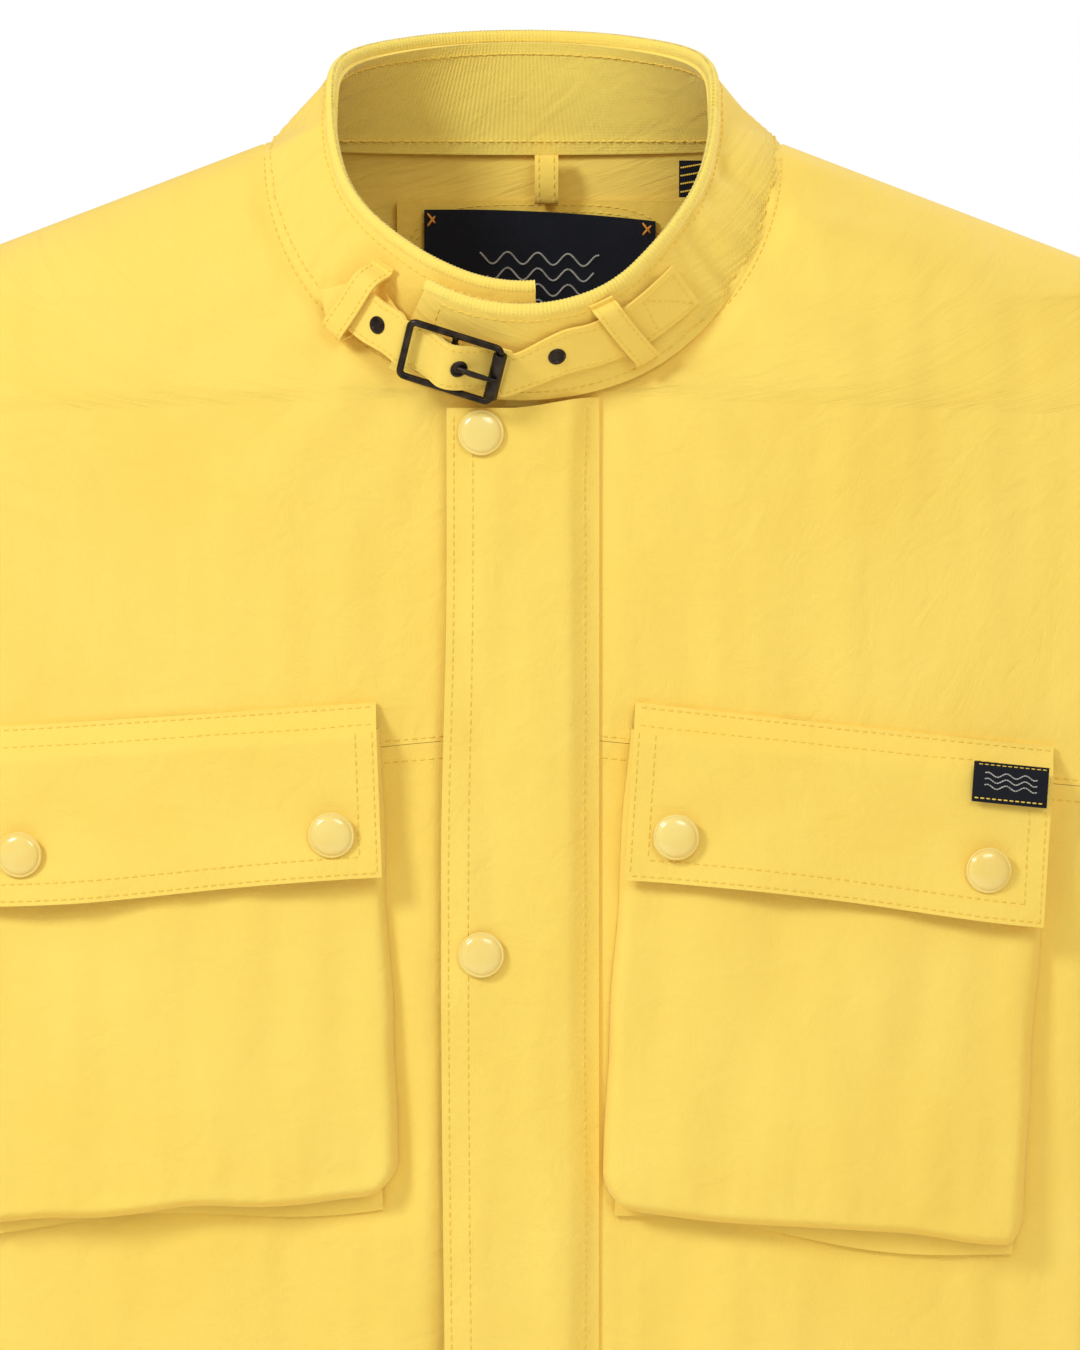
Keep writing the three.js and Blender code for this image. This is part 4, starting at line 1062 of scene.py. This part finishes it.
def pocket_snaps(pocket, body):
    for i in (1, 2):
        cad_cap = f"{pocket['name']}_snap_cap_{i}"
        foot = cap_place(cad_cap)
        rise = float(front_y(abs(foot[0]) + 5, foot[2]) - front_y(abs(foot[0]) - 5, foot[2])) / 10
        axis = unit(np.array([pocket["side"] * rise, -1, 0]))
        foot = foot + np.array([0, -1.0, 0])
        snap_cap(cad_cap.replace("_snap_cap_", "_cap_"), foot, axis, body, cad_cap)
        back = np.array([foot[0], float(front_y(abs(foot[0]), foot[2])) + 2.4 - pocket["depth"], foot[2]])
        stud(cad_cap.replace("_snap_cap_", "_stud_"), back, axis)


def woven_tab():
    """The woven tab on the left chest flap, with a row of stitches at either end and plain waves."""
    pocket, body = POCKETS[0], "chest_left_flap"
    a, b = np.meshgrid(np.linspace(126, 154, 30), np.linspace(7, 22, 24))
    stand = pocket["depth"] + FLAP_RISE + FLAP_CLOTH + 1.5
    tab = Sheet(pocket_point(pocket, a, b, stand), (0, 60, -240))
    tab.cloth("woven_tab", "pocket_tab_label", material=BLACK, thickness=0.7, body=body, slot="black_weave")
    line = Seam().across(tab, (0.9,), 80, 0.02, 0.98, pitch=2.2, length=1.7, radius=0.3)
    line.across(tab, (0.06,), 80, 0.05, 0.95, pitch=2.2, length=1.7, radius=0.2)
    line.make("woven_tab_stitches", body=body, slot="black_weave")
    motif = Seam()
    u = np.linspace(0.15, 0.85, 160)
    for level in (0.3, 0.45, 0.6):
        motif.row(tab.at(u, level + 0.05 * np.sin(u * 25)), pitch=1.0, length=1.05, radius=0.28)
    motif.make("woven_tab_motif", GREY_THREAD, body, "black_weave")


# Inside the back of the neck: the patch, the label on it, the hanging loop and the size tag
NECK_MIDDLE = 6.5
LOOP_MIDDLE = (9.0, 39.5, -14.5)
LOOP_RADII = (4.45, 9.55)
TAG_AT = (64, 21.5, -7)


def neck_patch():
    t, r = shares(80, 60, -1)
    x, z = NECK_MIDDLE + t * 55, mix(-22.5, -97, r)
    patch = Sheet(np.stack([x, back_y(x, z) - CLOTH - 1.7, z], -1), (0, 200, -60))
    patch.displace(0.35 * ripple(patch.grid, (30, 30, 16), 71))
    patch.cloth("neck_patch_cloth", "label_patch", material=LINING, thickness=0.8)
    turn = np.linspace(0, math.pi, 300)
    round_u, round_v = np.sign(np.cos(turn)) * np.abs(np.cos(turn)) ** 0.5, np.abs(np.sin(turn)) ** 0.5
    stitches = Seam()
    for half, height in ((0.47, 0.54), (0.485, 0.575)):
        stitches.row(patch.at(0.5 - half * round_u, 0.6 - height * round_v))
    stitches.make("neck_patch_stitches")


def neck_label():
    t, r = shares(70, 46, -1)
    sag = 1.5 * (t + 0.4) ** 2 + t
    z = mix(-26.6, -77.0, r) - sag * (1 - r)
    label = Sheet(np.stack([NECK_MIDDLE + t * 44.5, 42.4 - 0.5 * np.cos(t * 1.4) + 0 * z, z], -1), (0, 200, -50))
    label.displace(0.4 * ripple(label.grid, (40, 10, 25), 73))
    label.cloth("neck_label_weave", "neck_label", material=BLACK, thickness=0.7, slot="black_weave")
    edge = Seam().across(label, (0.02,), 300, 0.012, 0.988, pitch=1.6, length=1.2, radius=0.16)
    edge.make("neck_label_edge", BLACK, slot="black_weave")
    crosses = Seam()
    for u, s in product((0.035, 0.965), (-1, 1)):
        cross = label.line((u - 0.022, 0.075 - s * 0.05), (u + 0.022, 0.075 + s * 0.05), 20)
        crosses.row(cross, pitch=5.0, length=5.4, radius=0.5)
    crosses.make("neck_label_crosses", ORANGE_THREAD, slot="black_weave")
    motif = Seam()
    for k in range(4):
        u = np.linspace(0.24 + 0.03 * k, 0.76 - 0.03 * k, 260)
        wave = label.at(u, 0.36 + 0.12 * k + 0.045 * np.sin(u * 48))
        motif.row(wave, pitch=0.8, length=0.85, radius=0.42)
    motif.make("neck_label_motif", GREY_THREAD, slot="black_weave")


def hanging_loop():
    x, y, z = LOOP_MIDDLE
    across, angle = np.meshgrid(np.linspace(-4.5, 4.5, 11), np.linspace(0, 2 * math.pi, 61)[:-1], indexing="ij")
    ring = np.stack([across + x, y + LOOP_RADII[0] * np.cos(angle), z + LOOP_RADII[1] * np.sin(angle)], -1)
    loop = Sheet(ring, LOOP_MIDDLE, closed=True)
    loop.cloth("hanging_tape", "hanging_loop", thickness=0.9)
    Seam().across(loop, (0.18, 0.82), 200).make("hanging_tape_stitches")


def size_tag():
    t, r = shares(24, 30, -1)
    x, y, z = TAG_AT
    tag = Sheet(np.stack([x + 4.5 * t, y + 0.4 * r, z - 14 * r], -1), (64, 100, -14))
    tag.displace(0.5 * ripple(tag.grid, (9, 9, 9), 77))
    tag.cloth("size_tag", "size_label", material=BLACK, thickness=0.8, slot="black_weave")
    stripes = Seam()
    for level in (0.2, 0.42, 0.64, 0.86):
        stripes.row(tag.line((0.06, level), (0.94, level - 0.1), 60), pitch=0.8, length=0.85, radius=0.4)
    stripes.make("size_tag_stripes", slot="black_weave")


# Zip: two tapes, its chain of separate teeth, and the stop; the slider and its puller keep their CAD shape
ZIP_TOP = -97.0
ZIP_BOTTOM = HEM_Z + 14
TOOTH_PITCH = 2.6
TOOTH_HALF = (1.8, 1.25, 0.85)
STOP_HALF = (4.4, 1.3, 5.2)
TAPE_OUTER = 19


def zip_y(z):
    return -front_depth(z) + CLOTH + 0.3


def boxes(name, places, half, material, bevel):
    """Small blocks with bevelled edges and corners, one at each place, as a single mesh."""
    corners = list(product((-1, 1), repeat=3))
    squares = [(-1, -1), (1, -1), (1, 1), (-1, 1)]
    points, faces = [], []
    for centre in places:
        first = len(points)
        for corner, k in product(corners, range(3)):
            shrink = [1 if axis == k else 1 - bevel for axis in range(3)]
            points.append(np.array(centre) + np.array(half) * np.array(corner) * shrink)
        at = lambda corner, k: first + (4 * (corner[0] > 0) + 2 * (corner[1] > 0) + (corner[2] > 0)) * 3 + k
        for s, k in product((-1, 1), range(3)):
            ring = [p[:k] + (s,) + p[k:] for p in (squares if k != 1 else [q[::-1] for q in squares])]
            quad = [at(corner, k) for corner in ring]
            faces.append(quad if s > 0 else quad[::-1])
        for corner in corners:
            tri = [at(corner, k) for k in range(3)]
            faces.append(tri if math.prod(corner) > 0 else tri[::-1])
        for (a, b), p, q in product(((0, 1), (0, 2), (1, 2)), (-1, 1), (-1, 1)):
            ends = [{a: p, b: q, 3 - a - b: s} for s in (-1, 1)]
            one, two = ([end[axis] for axis in range(3)] for end in ends)
            quad = [at(one, a), at(two, a), at(two, b), at(one, b)]
            flip = p * q * (1 if (a, b) != (0, 2) else -1)
            faces.append(quad if flip < 0 else quad[::-1])
    return mesh_object(name, np.array(points), faces, material, sharp=35)


def zipper():
    for side, word in ((1, "left"), (-1, "right")):
        t, r = shares(14, 260)
        z = mix(ZIP_TOP, ZIP_BOTTOM, r)
        grid = np.stack([side * mix(1.4, TAPE_OUTER, t), zip_y(z) + 0.1 + 0.15 * np.sin(z / 9) * t, z], -1)
        Sheet(grid, (0, 60, -400)).cloth(f"zip_tape_{word}_cloth", f"zip_tape_{word}", thickness=0.8)
    teeth = []
    for k in range(int((ZIP_TOP - ZIP_BOTTOM) / TOOTH_PITCH)):
        z = ZIP_TOP - 1.3 - k * TOOTH_PITCH
        teeth.append((0.8 if k % 2 else -0.8, float(zip_y(z)) + 0.3, z))
    declare(boxes("zip_chain", teeth, TOOTH_HALF, DARK_METAL, 0.3), "jacket", "dark_metal", "zip_teeth")
    at = (0, float(zip_y(ZIP_BOTTOM - 6)) + 0.3, ZIP_BOTTOM - 5.8)
    declare(boxes("zip_bottom_stop", [at], STOP_HALF, DARK_METAL, 0.12), "jacket", "dark_metal", "zip_stop")
    for name in ("zip_slider", "zip_puller"):
        for place in bpy.data.objects[name].material_slots:
            place.material = DARK_METAL


# Cuff tabs
CUFF_TAB_TILT = 0.165
CUFF_TAB_HALF_LENGTH = 31
CUFF_TAB_HALF_WIDTH = 15


def cuff_tabs():
    for side, word in ((1, "left"), (-1, "right")):
        name = f"cuff_tab_{word}"
        low, high = cad_box(name)
        middle = (low + high) / 2
        angle = -side * CUFF_TAB_TILT
        along = np.array([math.cos(angle), 0, -math.sin(angle)]) * side
        up = np.array([-math.sin(angle), 0, math.cos(angle)])
        s, w = np.meshgrid(np.linspace(-CUFF_TAB_HALF_LENGTH, CUFF_TAB_HALF_LENGTH, 60), np.linspace(-1, 1, 24))
        reach = CUFF_TAB_HALF_WIDTH * (1 - 0.28 * smooth(20, 31, s) ** 2)
        grid = middle + along * s[..., None] + up * (w * reach)[..., None]
        grid[..., 1] = low[1] + 0.1 + 0.5 * (1 - np.cos(s / 14)) * 0.4
        tab = Sheet(grid, middle + np.array([0, 60, 0]))
        tab.displace(0.25 * ripple(grid, (12, 12, 12), 81) * smooth(-31, -22, s))
        tab.cloth(name + "_cloth", name, thickness=1.8, body=name)
        stitches = Seam()
        for inset in (0.06, 0.2):
            stitches.across(tab, (inset, 1 - inset), 160, 0.06, 1 - inset / 2)
            stitches.down(tab, (1 - inset / 2,), 100, inset, 1 - inset)
        stitches.make(name + "_stitches", body=name)
        cad_cap = f"cuff_snap_cap_{word}"
        snap_cap(f"cuff_cap_{word}", cap_place(cad_cap), (0, -1, 0), name, cad_cap)


front_panels()
back_panels()
sleeves()
collar()
collar_band()
collar_edge()
strap()
buckle()
buckle_tab()
keeper_loop("strap_loop_left", (22.5, 0.99), (28, 0.13), OVERLAP_LIFT + 0.9, OVERLAP_LIFT + 4.2)
keeper_loop("strap_loop_right", (-42.5, 0.86), (-42.5, -0.02), 2.4, 10.4)
storm_flap()
for number, one in enumerate(POCKETS):
    pocket_bag(one, 91 + 10 * number)
    pocket_flap(one, 3 + number)
    if number == 0:
        woven_tab()
neck_patch()
neck_label()
hanging_loop()
size_tag()
zipper()
cuff_tabs()


# Floor, light and camera, in metres
FLOOR_Z = -0.80
LAMPS = (("key", (-1.5, -1.5, 1.1), 0.6, 30.0), ("front", (0.6, -2.0, 1.0), 0.9, 11.0),
         ("rim", (1.7, 1.1, 0.9), 0.6, 20.0))
LAMP_TARGET = (0, 0, -0.25)
LAMP_COLOUR = (0.76, 0.88, 1.0)
SKY_COLOUR = (1.0, 0.90, 0.78, 1)
SKY_STRENGTH = 0.6
CAMERA_LENS = 183.0
CAMERA_TILT = math.radians(5)
CAMERA_REACH = 2.52
LOOK_AT = (-0.0025, -0.13, -0.1886)


def stage_floor():
    bpy.ops.mesh.primitive_circle_add(vertices=96, radius=1.4, fill_type="NGON", location=(0, 0, FLOOR_Z))
    floor = bpy.context.object
    floor.name = "floor"
    paper = Surface("floor_paper", 0.9)
    grain = paper.add("ShaderNodeTexNoise", Scale=40.0, Detail=3.0)
    paper.colour(grain.outputs["Fac"], (0.9, 0.9, 0.9), (0.93, 0.93, 0.93))
    floor.data.materials.append(paper.material)


def studio_light():
    """Warm light from all round, white to the camera, and three cool lamps."""
    world = bpy.data.worlds.new("studio")
    bpy.context.scene.world = world
    world.use_nodes = True
    tree = world.node_tree
    sky = tree.nodes["Background"]
    sky.inputs["Color"].default_value = SKY_COLOUR
    sky.inputs["Strength"].default_value = SKY_STRENGTH
    seen = add_node(tree, "ShaderNodeBackground", Color=(1.0, 1.0, 1.0, 1), Strength=1.0)
    path = add_node(tree, "ShaderNodeLightPath")
    sources = {0: path.outputs["Is Camera Ray"], 1: sky.outputs[0], 2: seen.outputs[0]}
    either = add_node(tree, "ShaderNodeMixShader", sources)
    tree.links.new(either.outputs[0], tree.nodes["World Output"].inputs["Surface"])
    for name, place, size, power in LAMPS:
        lamp = bpy.data.lights.new(name, "AREA")
        lamp.shape = "DISK"
        lamp.size, lamp.energy, lamp.color = size, power, LAMP_COLOUR
        made = bpy.data.objects.new(name, lamp)
        made.location = place
        made.rotation_euler = (Vector(LAMP_TARGET) - Vector(place)).to_track_quat("-Z", "Y").to_euler()
        bpy.context.collection.objects.link(made)


stage_floor()
studio_light()
camera = bpy.data.cameras.new("camera")
camera.lens = CAMERA_LENS
camera.clip_end = 20
viewer = bpy.data.objects.new("camera", camera)
viewer.location = (LOOK_AT[0], LOOK_AT[1] - CAMERA_REACH * math.cos(CAMERA_TILT),
                   LOOK_AT[2] + CAMERA_REACH * math.sin(CAMERA_TILT))
viewer.rotation_euler = (math.pi / 2 - CAMERA_TILT, 0, 0)
bpy.context.collection.objects.link(viewer)
bpy.context.scene.camera = viewer
bpy.context.scene.view_settings.view_transform = "Standard"
